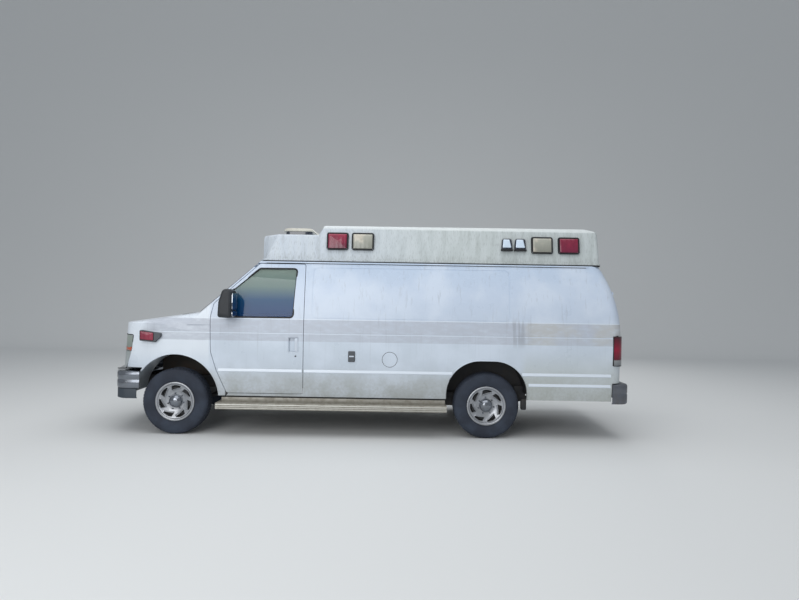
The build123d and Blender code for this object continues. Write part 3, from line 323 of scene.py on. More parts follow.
# %% Cab and cabinet finishes
VINYL = finish("grey_vinyl", "#4C5056", 0.55, Sheen_Weight=0.1)
CAB_PLASTIC = finish("moulded_cab_plastic", "#2F3237", 0.6)
LAMINATE = finish("white_laminate", "#C9C8BF", 0.35)
CHARCOAL = finish("charcoal_polyamide", "#4E5257", 0.5)
# Near black: the dials' own black, and painted shade in the cover slots and behind the grille
BLACK_AND_SHADE = finish("black_and_painted_shade", "#0B0B0C", 0.8)
CREAM = dusty("cream_polycarbonate", "#C9C8BD", "#8A877E", 0.5, 0.4, grain=10, high=3.0)
WHITE_PLASTIC = finish("white_moulded_plastic", "#C9D2DD", 0.4)
print("made the cab finishes")

# %% [markdown]
# ## Dressing the CAD parts
# A CAD part keeps its own mesh and only takes a material. A short table says which finish each family of
# parts has on the real vehicle, and what isn't named there is painted body metal. A second table says which
# colour of the library each added piece follows.

# %% Give every CAD part its finish
FINISHES = [
    (GELCOAT, "raised_roof"), (DARK_LENS, "light_bar"), (CLEAR_LENS, "clear_lamps"), (RED_LENS, "red_lamps"),
    (GLASS, "windshield"), (TAIL_LENS, "tail_lamps"), (HEADLAMP_LENS, "headlamps"),
    (CHROME, "grille front_bumper rear_bumper"), (PLASTIC, "front_valance mirror_left mirror_right"),
    (ALUMINIUM, "running_boards"), (CHASSIS, "chassis_frame rear_axle front_axle fuel_tank floor_pan"),
    (IRON, "knuckle_left knuckle_right engine"), (EXHAUST, "exhaust"), (VINYL, "front_seats"),
    (CAB_PLASTIC, "dashboard steering_wheel"), (LAMINATE, "patient_fittings")]
finish_of = {name: material for material, names in FINISHES for name in names.split()}
for name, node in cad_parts.items():
    chosen = finish_of.get(name, PAINT)
    if "glass" in name:
        chosen = GLASS
    elif name.startswith("tyre"):
        chosen = RUBBER
    elif name.startswith("wheel"):
        chosen = SILVER
    node.data.materials.clear()
    node.data.materials.append(chosen)
SLOTS = [
    ("chrome", [CHROME, GREY_BUMPER, MIRROR]), ("tyre", [RUBBER]), ("wheel_silver", [SILVER, RIM_STEEL]),
    ("black_plastic", [SEAL, PLASTIC, VALANCE_GREY, CHARCOAL, DARK_LENS]), ("red_lens", [RED_LENS]),
    ("clear_lens", [CLEAR_LENS, FROSTED_LENS]), ("aluminium", [ALUMINIUM, BRIGHT_EDGE]),
    ("seat_vinyl", [VINYL])]
slot_of = {material.name: slot for slot, materials in SLOTS for material in materials}
print("dressed", len(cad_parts), "CAD parts")

# %% [markdown]
# ## Shapes from grids of points
# Nearly every small piece on a vehicle is an outline that is raised in steps: a gasket, a lens, a nut. So one
# helper turns rings of points into faces, and a few more place them on the body's curved skin.

# %% Meshes from rings of points


def put(name, shapes, material, body="vehicle", fold=35):
    """Join shapes, each (points in mm, faces), into one piece at the origin that rides on a body."""
    points, faces, start = [], [], 0
    for shape_points, groups in shapes:
        points.append(shape_points)
        faces += [face for group in groups for face in (np.asarray(group) + start).tolist()]
        start += len(shape_points)
    mesh = bpy.data.meshes.new(name)
    mesh.from_pydata((np.vstack(points) * MM).tolist(), [], faces)
    mesh.polygons.foreach_set("use_smooth", np.ones(len(mesh.polygons), bool))
    mesh.set_sharp_from_angle(angle=math.radians(fold))
    mesh.materials.append(material)
    mesh.validate()
    piece = bpy.data.objects.new(name, mesh)
    bpy.context.scene.collection.objects.link(piece)
    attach(piece, body)
    return piece


def ring_faces(rings, count, join=False, cap_first=False, cap_last=False):
    """Quads between neighbouring rings of count points, closed round each ring, with flat caps if asked."""
    row, column = np.mgrid[0:rings if join else rings - 1, 0:count]
    beside, step = (column + 1) % count, ((row + 1) % rings) * count
    corners = [row * count + column, row * count + beside, step + beside, step + column]
    groups = [np.stack(corners, -1).reshape(-1, 4)]
    if cap_first:
        groups.append(np.arange(count)[None, ::-1])
    if cap_last:
        groups.append((np.arange(count) + (rings - 1) * count)[None, :])
    return groups


def outwards(points, groups):
    """Turn all faces round if the signed volume, a sum of corner products, says they point inwards."""
    volume = 0.0
    for group in groups:
        for k in range(1, group.shape[1] - 1):
            first, second, third = points[group[:, [0, k, k + 1]].T]
            volume += (first * np.cross(second, third)).sum()
    return points, [group[:, ::-1] for group in groups] if volume < 0 else groups


def closed(rings, join=False):
    """Solid through rings with the same number of points: joined last to first, or capped at both ends."""
    rings = np.asarray(rings)
    return outwards(rings.reshape(-1, 3), ring_faces(len(rings), rings.shape[1], join, not join, not join))


def spots(x, y, z):
    """Points from three coordinates, each a number or an array. It also places a plan (x, y) at height z."""
    return np.stack(np.broadcast_arrays(x, y, z), -1)


def unit(vectors):
    """Vectors of length 1."""
    return vectors / np.maximum(np.linalg.norm(vectors, axis=1), 1e-9)[:, None]


print("helpers for rings are ready")

# %% Outlines, and the forms raised on them


def rounded(*corners):
    """Outline through corners (a, b, radius), each turned by an arc from one tangent point to the next."""
    rows = np.array(corners, float)
    corner, radius = rows[:, :2], rows[:, 2]
    back, ahead = unit(np.roll(corner, 1, 0) - corner), unit(np.roll(corner, -1, 0) - corner)
    half = np.arccos(np.clip((back * ahead).sum(1), -1, 1)) / 2
    reach = (radius / np.tan(half))[:, None]
    first, last = corner + back * reach, corner + ahead * reach
    middle = corner + unit(back + ahead) * (radius / np.sin(half) - radius)[:, None]
    control = 2 * middle - (first + last) / 2
    t = np.linspace(0, 1, 6)[None, :, None]
    curve = (1 - t) ** 2 * first[:, None] + 2 * t * (1 - t) * control[:, None] + t ** 2 * last[:, None]
    return curve.reshape(-1, 2)


def box_outline(a_from, a_to, b_from, b_to, radius):
    """Rectangle with round corners."""
    corners = ((a_from, b_from), (a_to, b_from), (a_to, b_to), (a_from, b_to))
    return rounded(*[(a, b, radius) for a, b in corners])


def circle(a, b, radius, count=32, start=0.0):
    """Regular outline: (a + r cos t, b + r sin t)."""
    turn = start + np.linspace(0, 2 * np.pi, count, endpoint=False)
    return np.stack([a + radius * np.cos(turn), b + radius * np.sin(turn)], 1)


def inward(outline):
    """Unit normals that point into a closed outline, from the directions of its neighbours."""
    ahead = np.roll(outline, -1, 0)
    edge = unit(ahead - np.roll(outline, 1, 0))
    area = (outline[:, 0] * ahead[:, 1] - ahead[:, 0] * outline[:, 1]).sum()
    return np.stack([-edge[:, 1], edge[:, 0]], 1) * np.sign(area)


def form(outline, levels, place, dome=0.0):
    """Solid with the outline moved in by inset at each height, closed by a dome of height d (1 - s^2)."""
    normal, centre = inward(outline), outline.mean(0)
    rings = [(outline + normal * inset, height) for inset, height in levels]
    last, top = rings[-1]
    for share in (0.85, 0.65, 0.4, 0.15, 0.01):
        rings.append((centre + (last - centre) * share, top + dome * (1 - share ** 2)))
    return closed([place(*ring.T, height) for ring, height in rings])


def band(outline, section, place):
    """Closed band along an outline; section lists (inset, height) round the band's own cross-section."""
    normal = inward(outline)
    return closed([place(*(outline + normal * inset).T, height) for inset, height in section], join=True)


def tube(path, radius, sides=8):
    """Round tube: rings about a path, turned to the path's direction at each point."""
    path = np.asarray(path, float)
    along = unit(np.gradient(path, axis=0))
    helper = np.where(np.abs(along[:, 2:]) > 0.9, [[1.0, 0, 0]], [[0, 0, 1.0]])
    across = unit(np.cross(along, helper))
    up = np.cross(across, along)
    turn = np.linspace(0, 2 * np.pi, sides, endpoint=False)[:, None]
    return closed(path[:, None] + (across[:, None] * np.cos(turn) + up[:, None] * np.sin(turn)) * radius)


def turned(profile, centre, steps=64, join=False):
    """Surface of revolution about an axle along y: profile rows are (radius, place along the axle)."""
    radius, along = np.asarray(profile, float).T[:, :, None]
    turn = np.linspace(0, 2 * np.pi, steps, endpoint=False)
    return closed(spots(radius * np.cos(turn), along, radius * np.sin(turn)) + centre, join)


def slab(x_range, y_range, z_range, radius=3.0):
    """Block with softened edges: a rounded outline in plan, with its first and last ring drawn in."""
    low, high = z_range
    levels = [(radius * 0.6, low), (0, low + radius), (0, high - radius), (radius * 0.6, high)]
    return form(box_outline(*x_range, *sorted(y_range), radius), levels, spots)


print("helpers for forms, bands, tubes and turned shapes are ready")

# %% [markdown]
# The body's skin is a pair of circular arcs from sill to belt and from belt to drip rail, the same on both
# sides. With its formula, a gasket can be drawn flat in side view and laid on the curve. On the fenders and
# the nose the skin has no short formula, so there a ray finds it.

# %% Places on the body's skin
WAIST, SILL, DRIP = (1007, 1060), (958, 443), (853, BODY_TOP_Z)
REAR_WAIST, REAR_TOP = (2911, 1170), (2690, BODY_TOP_Z)
ROOF_HALF, ROOF_LEAN = 845, 70 / 421
ROOF_TAIL_X, ROOF_TAIL_Z, ROOF_TAIL_LEAN = 2690, 1960, 11 / 408
# Rays start this far out, clear of the whole vehicle
RAY_START = 4000


def falls_away(z, waist, end):
    """Arc that is upright at the waist and passes the end: w - R + sqrt(R^2 - dz^2), R = (a^2 + b^2) / 2a."""
    inward_by, along_by = waist[0] - end[0], end[1] - waist[1]
    radius = (inward_by**2 + along_by**2) / (2 * inward_by)
    return waist[0] - radius + np.sqrt(np.maximum(radius**2 - (z - waist[1]) ** 2, 0))


def side_half(z):
    """Half width of the body at height z: the lower arc up to the waist and the upper arc above it."""
    return np.where(z < WAIST[1], falls_away(z, WAIST, SILL), falls_away(z, WAIST, DRIP))


def rear_face(z):
    """Rear face at height z: upright up to its waist, then an arc."""
    return np.where(z < REAR_WAIST[1], REAR_WAIST[0], falls_away(z, REAR_WAIST, REAR_TOP))


def roof_half(z):
    """Half width of the raised roof's tall part, whose sides lean in."""
    return ROOF_HALF - (z - BODY_TOP_Z) * ROOF_LEAN


def roof_tail(z):
    """Rear face of the raised roof."""
    return ROOF_TAIL_X - (z - ROOF_TAIL_Z) * ROOF_TAIL_LEAN


def on_side(mark):
    """Place (x, z, height above the skin) on the left (-1) or right (1) side."""
    return lambda a, b, h: spots(a, mark * (side_half(b) + h), b)


def on_rear(a, b, h):
    """Place (y, z, height above the skin) on the rear face."""
    return spots(rear_face(b) + h, a, b)


def on_roof_side(mark):
    """Place (x, z, height above the skin) on the side of the raised roof's tall part."""
    return lambda a, b, h: spots(a, mark * (roof_half(b) + h), b)


def on_roof_rear(a, b, h):
    """Place (y, z, height above the skin) on the rear face of the raised roof."""
    return spots(roof_tail(b) + h, a, b)


def from_middle(mark):
    """Place (x, z, distance from the vehicle's middle plane) on one side."""
    return lambda a, b, h: spots(a, mark * h, b)


def on_plane(origin, across, up):
    """Place (a, b, h) as origin + a across + b up + h (across x up)."""
    out = np.cross(across, up)
    return lambda a, b, h: origin + np.outer(a, across) + np.outer(b, up) + h * out


def skin_of(*names):
    """Tree of the faces of CAD parts, for finding their surface with rays."""
    points, faces = [], []
    for name in names:
        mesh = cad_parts[name].data
        faces += [[len(points) + i for i in polygon.vertices] for polygon in mesh.polygons]
        points += [v.co.copy() for v in mesh.vertices]
    return BVHTree.FromPolygons(points, faces)


def on_skin(tree, axis, sign):
    """Place (a, b, h) by a ray against one axis: x reads (y, z), y reads (x, z) and z reads (x, y)."""
    index = "xyz".index(axis)
    others = [i for i in range(3) if i != index]
    aim = np.zeros(3)
    aim[index] = -sign

    def place(a, b, h):
        rows = np.zeros((len(a), 3))
        rows[:, others[0]], rows[:, others[1]], rows[:, index] = a, b, sign * RAY_START
        hits = [tree.ray_cast(row * MM, aim)[0] for row in rows]
        depth = np.array([np.nan if hit is None else hit[index] / MM for hit in hits])
        rows[:, index] = np.where(np.isnan(depth), np.nanmedian(depth), depth) + sign * h
        return rows

    return place


print("half width at the belt", float(side_half(WAIST[1])))

# %% [markdown]
# ## Tyres and wheels
# A light-truck tyre has ribs cut by lateral grooves, and plain sidewalls with a few raised rings. The tread
# is one surface r(turn, across): a smooth carcass profile with the grooves taken off where two masks say so.
# The wheel cover is a second one, its height a sum of a dished profile, seven vanes and seven deep slots.

# %% Tyre surface
TREAD_R, TREAD_HALF, PITCHES = 370, 66, 64
GROOVES_Y = (-47, -17, 17, 47)
BEAD_TO_SHOULDER = [
    (206, -87), (222, -94), (236, -101), (262, -108), (290, -112), (318, -109), (338, -103), (352, -96),
    (362, -86), (367, -76)]


def tyre_shape():
    """Closed surface about the Y axis: carcass radius less groove depth, by turn and by way across."""
    bead = np.array(BEAD_TO_SHOULDER, float)
    groove_sides = [np.array([-4.2, -3.2, 0, 3.2, 4.2]) + g for g in GROOVES_Y]
    tread_y = np.unique(np.concatenate([np.linspace(-TREAD_HALF, TREAD_HALF, 15), *groove_sides]))
    tread = np.stack([np.full(len(tread_y), float(TREAD_R)), tread_y], 1)
    radius, across = np.vstack([bead, tread, bead[::-1] * (1, -1)]).T
    turn = np.linspace(0, 2 * np.pi, PITCHES * 8, endpoint=False)[:, None]
    phase = (turn * PITCHES / (2 * np.pi) + np.abs(across) * 0.012 + (across > 0) * 0.5) % 1.0
    lateral = (phase < 0.24) & (np.abs(across) < 88) & (np.abs(across) > 19)
    around = np.min([np.abs(across - g) for g in GROOVES_Y], 0) < 3.5
    r = radius - np.where((radius > 369) & around, 8.0, np.where((radius > 350) & lateral, 6.0, 0.0))
    y = across + np.sign(across) * np.isin(radius, (262, 338)) * 1.5
    return closed(spots(r * np.cos(turn), y, r * np.sin(turn)), join=True)


tyre_points, tyre_faces = tyre_shape()
print("tyre has", sum(map(len, tyre_faces)), "faces")

# %% [markdown]
# Each slot of the cover lies along the rim, blunt behind and pointed ahead, and its pointed end is further
# out. A vane rises along the slot's inner edge. With `a` for the way along the rim and `b` for the way out,
# both are short formulas in a and b, repeated every seventh of a turn.

# %% Wheel cover surface
SLOTS_ROUND, SLOT_R, SLOT_START = 7, 163, 3
SLOT_HALF, SLOT_RISE, SLOT_BLUNT, SLOT_POINT, SLOT_DEPTH = 50, 0.20, 21, 7, 34
COVER_OUT, COVER_IN = 219, 71
# Dish of the cover: radius and height over the wheel's middle plane, with a fine groove at 193
DISH = [
    (71, 62), (80, 65), (96, 66), (112, 70), (150, 84), (180, 96), (190, 98), (193, 93), (196, 99),
    (203, 105), (211, 107), (219, 102)]


def cover_shape():
    """Height over the wheel plane on a polar grid, and which faces lie deep in a slot."""
    turns, pitch = SLOTS_ROUND * 64, 360 / SLOTS_ROUND
    rim = [190, 193, 196, 199, 203, 208, 213, 217, COVER_OUT]
    r = np.concatenate([np.linspace(COVER_IN, 116, 9), np.linspace(119, 188, 35), rim])
    turn = np.linspace(0, 2 * np.pi, turns, endpoint=False)[:, None]
    a = r * np.radians((np.degrees(turn) - SLOT_START + pitch / 2) % pitch - pitch / 2)
    b = r - SLOT_R - SLOT_RISE * a
    half_width = SLOT_BLUNT + (SLOT_POINT - SLOT_BLUNT) * np.clip((a + 12) / 60, 0, 1)
    edge = np.maximum(np.abs(a) - SLOT_HALF, np.abs(b) - half_width)
    slot = np.clip(0.5 - edge / 5, 0, 1)
    slot = slot * slot * (3 - 2 * slot)
    vane_window = np.clip((a + 54) / 12, 0, 1) * np.clip((62 - a) / 12, 0, 1)
    vane = (5 + 5 * (a + 50) / 110) * np.exp(-((b + half_width + 6) / 6.5) ** 2) * vane_window
    height = np.interp(r, *np.array(DISH, float).T) + vane - slot * SLOT_DEPTH
    row, column = np.mgrid[0:turns, 0:len(r) - 1]
    here, beside = row * len(r) + column, ((row + 1) % turns) * len(r) + column
    quads = np.stack([here, here + 1, beside + 1, beside], -1).reshape(-1, 4)
    points = spots(r * np.sin(turn), height, r * np.cos(turn)).reshape(-1, 3)
    return points, quads, slot.ravel()[quads].mean(1) > 0.6


cover_points, cover_quads, cover_deep = cover_shape()
print("cover has", len(cover_quads), "faces,", int(cover_deep.sum()), "of them deep in a slot")

# %% [markdown]
# All four covers are the same pressing, so one on the right-hand side is the left-hand one turned half round
# about Z. The nuts stand in a ring of seven, the first a little left of the top, round a domed cap. Behind
# the cover sit a rolled steel rim and its pressed disc, both closed outlines turned about the axle.

# %% Place tyres, covers, rims, caps and nuts
NUT_CIRCLE, NUT_R, NUTS, NUT_START = 90, 9.5, 7, -4
# Rows of these profiles are radius and place along the axle
CAP_PROFILE = [
    (0.1, 40), (72, 40), (73, 66), (71, 84), (68, 97), (62, 104), (52, 108), (50, 111), (38, 117), (20, 121),
    (0.1, 122)]
RIM_PROFILE = [
    (192, -97), (222, -103), (222, -95), (205, -89), (203, 0), (205, 89), (222, 95), (222, 100), (205, 97),
    (196, 88), (193, 0)]
DISC_PROFILE = [
    (31, -10), (62, -10), (62, 28), (80, 42), (147, 48), (195, 40), (195, 48), (147, 56), (78, 50), (31, 36)]


def put_wheel(end, side):
    """Tyre, cover, rim, cap and nuts of one wheel, on that wheel's own body."""
    mark, body = SIDES[side], f"wheel_{end}_{side}"
    hub = np.array([AXLES[end], mark * WHEEL_Y[end], HUB_Z])
    tread = outwards(tyre_points * (1, mark, 1) + hub, tyre_faces)
    tyre = put(f"tread_{end}_{side}", [tread], RUBBER, body, fold=50)
    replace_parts(tyre, f"tyre_{end}_{side}")
    cover = put(
        f"wheel_cover_{end}_{side}", [(cover_points * (-mark, mark, 1) + hub, [cover_quads])], SILVER, body)
    # Faces deep in the slots take the near-black finish as painted shade
    cover.data.materials.append(BLACK_AND_SHADE)
    cover.data.polygons.foreach_set("material_index", cover_deep.astype(np.int32))
    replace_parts(cover, f"wheel_{end}_{side}")
    cap, rim, disc = (np.array(rows) * (1, mark) for rows in (CAP_PROFILE, RIM_PROFILE, DISC_PROFILE))
    steel = [turned(rows, hub, 96, join=True) for rows in (rim, disc)]
    put(f"rim_{end}_{side}", steel, RIM_STEEL, body)
    put(f"centre_cap_{end}_{side}", [turned(cap, hub, 48)], CHROME, body)
    face = on_plane(hub, (-mark, 0, 0), (0, 0, 1))
    nuts = []
    for turn in np.radians(NUT_START + np.arange(NUTS) * 360 / NUTS):
        spot = circle(NUT_CIRCLE * math.sin(turn), NUT_CIRCLE * math.cos(turn), NUT_R, 6, turn)
        nuts.append(form(spot, [(0, 60), (0, 80), (2.5, 84)], face, dome=4))
    put(f"wheel_nuts_{end}_{side}", nuts, CHROME, body)


for wheel_end in AXLES:
    for wheel_side in SIDES:
        put_wheel(wheel_end, wheel_side)
print("placed 4 wheels")

# %% [markdown]
# ## The raised roof
# The roof is one hollow moulding with a low part over the cab and a tall part behind it. Its walls lean in,
# the upper edge is a rolled flange about 30 mm high, and the top is crowned so that rain runs off. Each part
# is a stack of plan outlines from the foot up, with a second stack inside for the laminate's thickness.

# %% Raised roof from stacked plans
LAMINATE_WALL = 22
ROLL = [(3, 11), (10, 22), (22, 30)]
# Height of the eave against x: the tall part ends in a chamfer at the tail, and the low part is level
TALL_EAVE = [(-500, 2560, 2672), (2368, 2374, 2338)]
LOW_EAVE = [(-1200, -400), (2260, 2260)]


def tall_plan(z, inset):
    """Plan outline of the tall part at height z."""
    front = np.interp(z, [1900, 2020, 2280, 2400], [-640, -623, -565, -490]) + inset
    rear, half = roof_tail(z) - inset, roof_half(z) - inset
    return rounded((front, -half, 40), (rear, -half, 45), (rear, half, 45), (front, half, 40))


def low_plan(z, inset):
    """Plan outline of the low part at height z, with its front corners cut off."""
    nose = np.interp(z, [1971, 1995, 2010, 2340], [-1258, -1246, -1240, -1234]) + inset
    cut = -1194 + (z - 1900) * 0.464 + inset
    half = 839 - (z - BODY_TOP_Z) * 49 / 311 - inset
    return rounded(
        (nose, -560, 40), (cut, -half, 40), (-420, -half, 5), (-420, half, 5), (cut, half, 40),
        (nose, 560, 40))


def roof_layer(plan, eave, crown, inset):
    """Rings of one skin of the roof, from the foot to the middle of the crown."""
    foot, top = BODY_TOP_Z, np.interp(0, *eave)
    rings = []
    for z in np.linspace(foot, top, 7):
        ring = plan(z, inset)
        rings.append((ring, foot + (z - foot) * (np.interp(ring[:, 0], *eave) - inset - foot) / (top - foot)))
    edge, level = rings[-1]
    rings += [(edge + inward(edge) * pull, level + rise) for pull, rise in ROLL]
    edge = rings[-1][0]
    middle = edge.mean(0)
    for share in (0.93, 0.8, 0.6, 0.4, 0.2, 0.03):
        ring = middle + (edge - middle) * share
        rings.append((ring, np.interp(ring[:, 0], *eave) - inset + ROLL[-1][1] + crown * (1 - share**2)))
    return [spots(*ring.T, height) for ring, height in rings]


def roof_shell(plan, eave, crown):
    """Closed hollow moulding: outer skin, inner skin and the flange between them."""
    outer, inner = roof_layer(plan, eave, crown, 0), roof_layer(plan, eave, crown, LAMINATE_WALL)[::-1]
    count = len(outer[0])
    shift = len(outer) * count
    groups = ring_faces(len(outer), count, cap_last=True)
    groups += [group + shift for group in ring_faces(len(inner), count, cap_first=True)]
    first = np.arange(count)
    last = first + shift + (len(inner) - 1) * count
    groups.append(np.stack([last, np.roll(last, -1), np.roll(first, -1), first], 1))
    return outwards(np.vstack(outer + inner), groups)


FOOT_PLAN = rounded(
    (-1264, -560, 40), (-1161, -839, 40), (2690, -845, 45), (2690, 845, 45), (-1161, 839, 40),
    (-1264, 560, 40))
flange = band(FOOT_PLAN, [(-8, 1984), (-9, 1998), (-3, 2004), (6, 2002), (6, 1984)], spots)
shells = [roof_shell(tall_plan, TALL_EAVE, 45), roof_shell(low_plan, LOW_EAVE, 32)]
roof = put("moulded_roof", [*shells, flange], GELCOAT)
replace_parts(roof, "raised_roof")
bead = band(FOOT_PLAN, [(-7, 1968), (-7, 1983), (-2, 1986), (8, 1986), (8, 1968)], spots)
put("roof_seam_bead", [bead], SEAL)
print("moulded the roof")

# %% [markdown]
# ## Warning lamps on the raised roof
# Each large lamp is a bowl behind a pillowed acrylic lens, held by a black rubber bezel. The two small ones
# are black housings like slanted boxes, nearly filled by a frosted window. The rows below give a lamp's place
# in side view as x from, x to, z from and z to. The lamps of the rear face stand less proud.

# %% Roof lamps
SIDE_ROWS = {
    "red": [(-453, -207, 2116, 2317), (2208, 2451, 2108, 2302)],
    "clear": [(-166, 88, 2116, 2317), (1900, 2144, 2108, 2302)]}
END_ROWS = {
    "red": [(-620, -380, 2110, 2310), (380, 620, 2110, 2310)],
    "clear": [(-300, -60, 2110, 2310), (60, 300, 2110, 2310)]}
POD_ROWS = [(1555, 1678, 2140, 2276), (1705, 1835, 2140, 2276)]
lamps = {"red": [], "clear": [], "bezel": [], "screw": []}


def add_lamp(colour, row, place, proud):
    """Bezel, lens and two lower screws of one large lamp."""
    outline = box_outline(*row, 22)
    bezel_steps = [(-1, -4), (-1, proud - 6), (3, proud), (13, proud), (18, proud - 5)]
    lens_steps = [(17.5, proud - 8), (17.5, proud + 1), (21, proud + 4)]
    lamps["bezel"].append(form(outline, bezel_steps, place))
    lamps[colour].append(form(outline, lens_steps, place, dome=6))
    for a in (row[0] + 12, row[1] - 12):
        screw_steps = [(0, proud - 2), (0, proud + 1.5)]
        lamps["screw"].append(form(circle(a, row[2] + 12, 4, 12), screw_steps, place, dome=1))


for colour in SIDE_ROWS:
    for row in SIDE_ROWS[colour]:
        for mark in SIDES.values():
            add_lamp(colour, row, on_roof_side(mark), 30)
    for row in END_ROWS[colour]:
        add_lamp(colour, row, on_roof_rear, 9)
put("roof_lamp_bezels", lamps["bezel"], SEAL)
put("roof_lamp_screws", lamps["screw"], CHROME)
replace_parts(put("roof_lamp_red_lenses", lamps["red"], RED_LENS), "red_lamps")
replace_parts(put("roof_lamp_clear_lenses", lamps["clear"], CLEAR_LENS), "clear_lamps")
print("made", len(lamps["bezel"]), "large lamps")

# %% Small lamps
pods, windows, feet = [], [], []
for mark in SIDES.values():
    place = on_roof_side(mark)
    for x_from, x_to, z_from, z_to in POD_ROWS:
        case = rounded(
            (x_from - 3, z_from + 10, 6), (x_to + 3, z_from + 10, 6), (x_to - 6, z_to + 3, 26),
            (x_from + 10, z_to + 3, 26))
        pane = rounded(
            (x_from + 12, z_from + 32, 5), (x_to - 14, z_from + 32, 5), (x_to - 34, z_to - 12, 10),
            (x_from + 20, z_to - 10, 14))
        foot = box_outline(x_from - 6, x_to + 6, z_from - 8, z_from + 14, 6)
        pods.append(form(case, [(-1, -4), (0, 26), (6, 36), (10, 38)], place))
        windows.append(form(pane, [(0, 34), (0, 41), (3, 43)], place, dome=2))
        feet.append(form(foot, [(0, -4), (0, 38), (3, 41)], place))
put("small_lamp_housings", pods, DARK_LENS)
put("small_lamp_windows", windows, FROSTED_LENS)
put("small_lamp_feet", feet, SEAL)
print("made", len(pods), "small lamps")

# %% [markdown]
# The light bar is an extruded base with dark lenses all round and a pale lid over it. It stands on four short
# feet, because the low roof under it is crowned.

# %% Light bar
BAR_STEPS = [(6, 2296), (0, 2302), (0, 2338), (5, 2343)]
LID_STEPS = [(8, 2340), (0, 2345), (0, 2356), (8, 2370), (26, 2380)]
bar = form(box_outline(-968, -650, -640, 640, 60), BAR_STEPS, spots)
lid = form(box_outline(-996, -640, -648, 648, 85), LID_STEPS, spots, dome=5)
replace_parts(put("light_bar_lenses", [bar], DARK_LENS), "light_bar")
put("light_bar_lid", [lid], CREAM)
bar_feet = [slab((x - 22, x + 22), (y - 40, y + 40), (2262, 2304)) for x in (-920, -700) for y in (-560, 560)]
put("light_bar_feet", bar_feet, SEAL)
print("made the light bar")

# %% [markdown]
# ## Seals round the glass
# Bonded panes still show a rubber lip. The outlines are those of the openings in side view, and the lip is a
# closed band with a rounded section that follows the body's curve.

# %% Window seals
FRONT_WINDOW = rounded(
    (-1612, 1330, 30), (-800, 1334, 40), (-774, 1888, 35), (-1200, 1886, 50), (-1612, 1530, 60))
CARGO_WINDOWS = {"cargo_door_front": (-480, 10), "cargo_door_rear": (190, 470)}
SCREEN_PANE = rounded((-770, 1385, 60), (770, 1385, 60), (700, 1905, 70), (-700, 1905, 70))
LIP = [(-9, -4), (-9, 2), (-6, 4.5), (4, 4.5), (9, 0), (9, -12), (0, -14)]
for side, mark in SIDES.items():
    seal = band(FRONT_WINDOW, LIP, on_side(mark))
    put(f"window_seal_front_{side}", [seal], SEAL, f"door_front_{side}")
    pane = box_outline(-640, -160, 1310, 1700, 60) * (-mark, 1)
    put(f"window_seal_rear_{side}", [band(pane, LIP, on_rear)], SEAL, f"rear_door_{side}")
for body, (x_from, x_to) in CARGO_WINDOWS.items():
    seal = band(box_outline(x_from, x_to, 1330, 1780, 50), LIP, on_side(1))
    put(f"window_seal_{body}", [seal], SEAL, body)
screen = on_skin(skin_of("windshield", "windshield_frame"), "x", -1)
border = band(SCREEN_PANE, [(-8, -2), (-8, 5), (4, 5), (28, 3), (28, -2)], screen)
put("windshield_border", [border], SEAL)
print("made the window seals")

# %% Wipers and cowl vents
# Rows are share of the sweep from and to, height at the pivot, gap to the glass and radius
WIPER_RODS = [(0, 1, 1392, 10, 5), (0.25, 1.1, 1412, 8, 6)]
wipers = []
for y_pivot, y_tip in ((-560, 40), (30, 620)):
    for share_from, share_to, z_pivot, gap, radius in WIPER_RODS:
        share = np.linspace(share_from, share_to, 14)
        wipers.append(tube(screen(y_pivot + (y_tip - y_pivot) * share, z_pivot + 70 * share, gap), radius))
put("wipers", wipers, SEAL)
cowl = on_skin(skin_of("windshield_frame"), "z", 1)
vent_outlines = [box_outline(-2175, -2125, y - 200, y + 200, 12) for y in (-430, 430)]
put("cowl_vents", [form(outline, [(0, -2), (0, 2), (3, 3)], cowl) for outline in vent_outlines], PLASTIC)
print("made the wipers")

# %% [markdown]
# ## Pressed lines, handles and mirrors
# A body pressing has stiffening lines, here a groove with a small ledge below it that catches the light.
# The CAD model has the groove, and the ledge is a wedge-shaped strip on the skin, painted lighter as a
# painted highlight. It stops at each door gap.

# %% Ledges under the pressed lines
# Section of a ledge: height from its top edge, and height above the skin
LEDGE = np.array([(0, -1), (-32.5, 6.5), (-40.5, -1), (-20.5, -8)])
UPPER_Z, LOWER_Z = 756, 637
BEHIND_WHEEL = ("vehicle", 1782, 2780)
SPANS = {
    -1: [("door_front_left", -1632, -690), ("vehicle", -668, 1000), BEHIND_WHEEL],
    1: [
        ("door_front_right", -1632, -690), ("cargo_door_front", -590, 100), ("cargo_door_rear", 125, 552),
        ("vehicle", 572, 1000), BEHIND_WHEEL],
}


def ledge(mark, x_from, x_to, z):
    """Wedge strip along the side from one x to another, below height z."""
    rise, height = LEDGE.T
    return closed([on_side(mark)(x, z + rise, height) for x in (x_from, x_to)])


strips = {}
for mark, spans in SPANS.items():
    for body, x_from, x_to in spans:
        strips.setdefault(body, []).append(ledge(mark, x_from, x_to, UPPER_Z))
    strips["vehicle"].append(ledge(mark, 1858, 2780, LOWER_Z))
for body, pieces in strips.items():
    put(f"pressed_ledge_{body}", pieces, LEDGE_HIGHLIGHT, body)
print("laid", sum(map(len, strips.values())), "ledges")

# %% [markdown]
# A door handle is a paddle in a pressed cup, and the lock sits below it. The mirror is a moulded head on two
# arms, with a large flat glass over a small wide-angle one, both on the face that looks back.

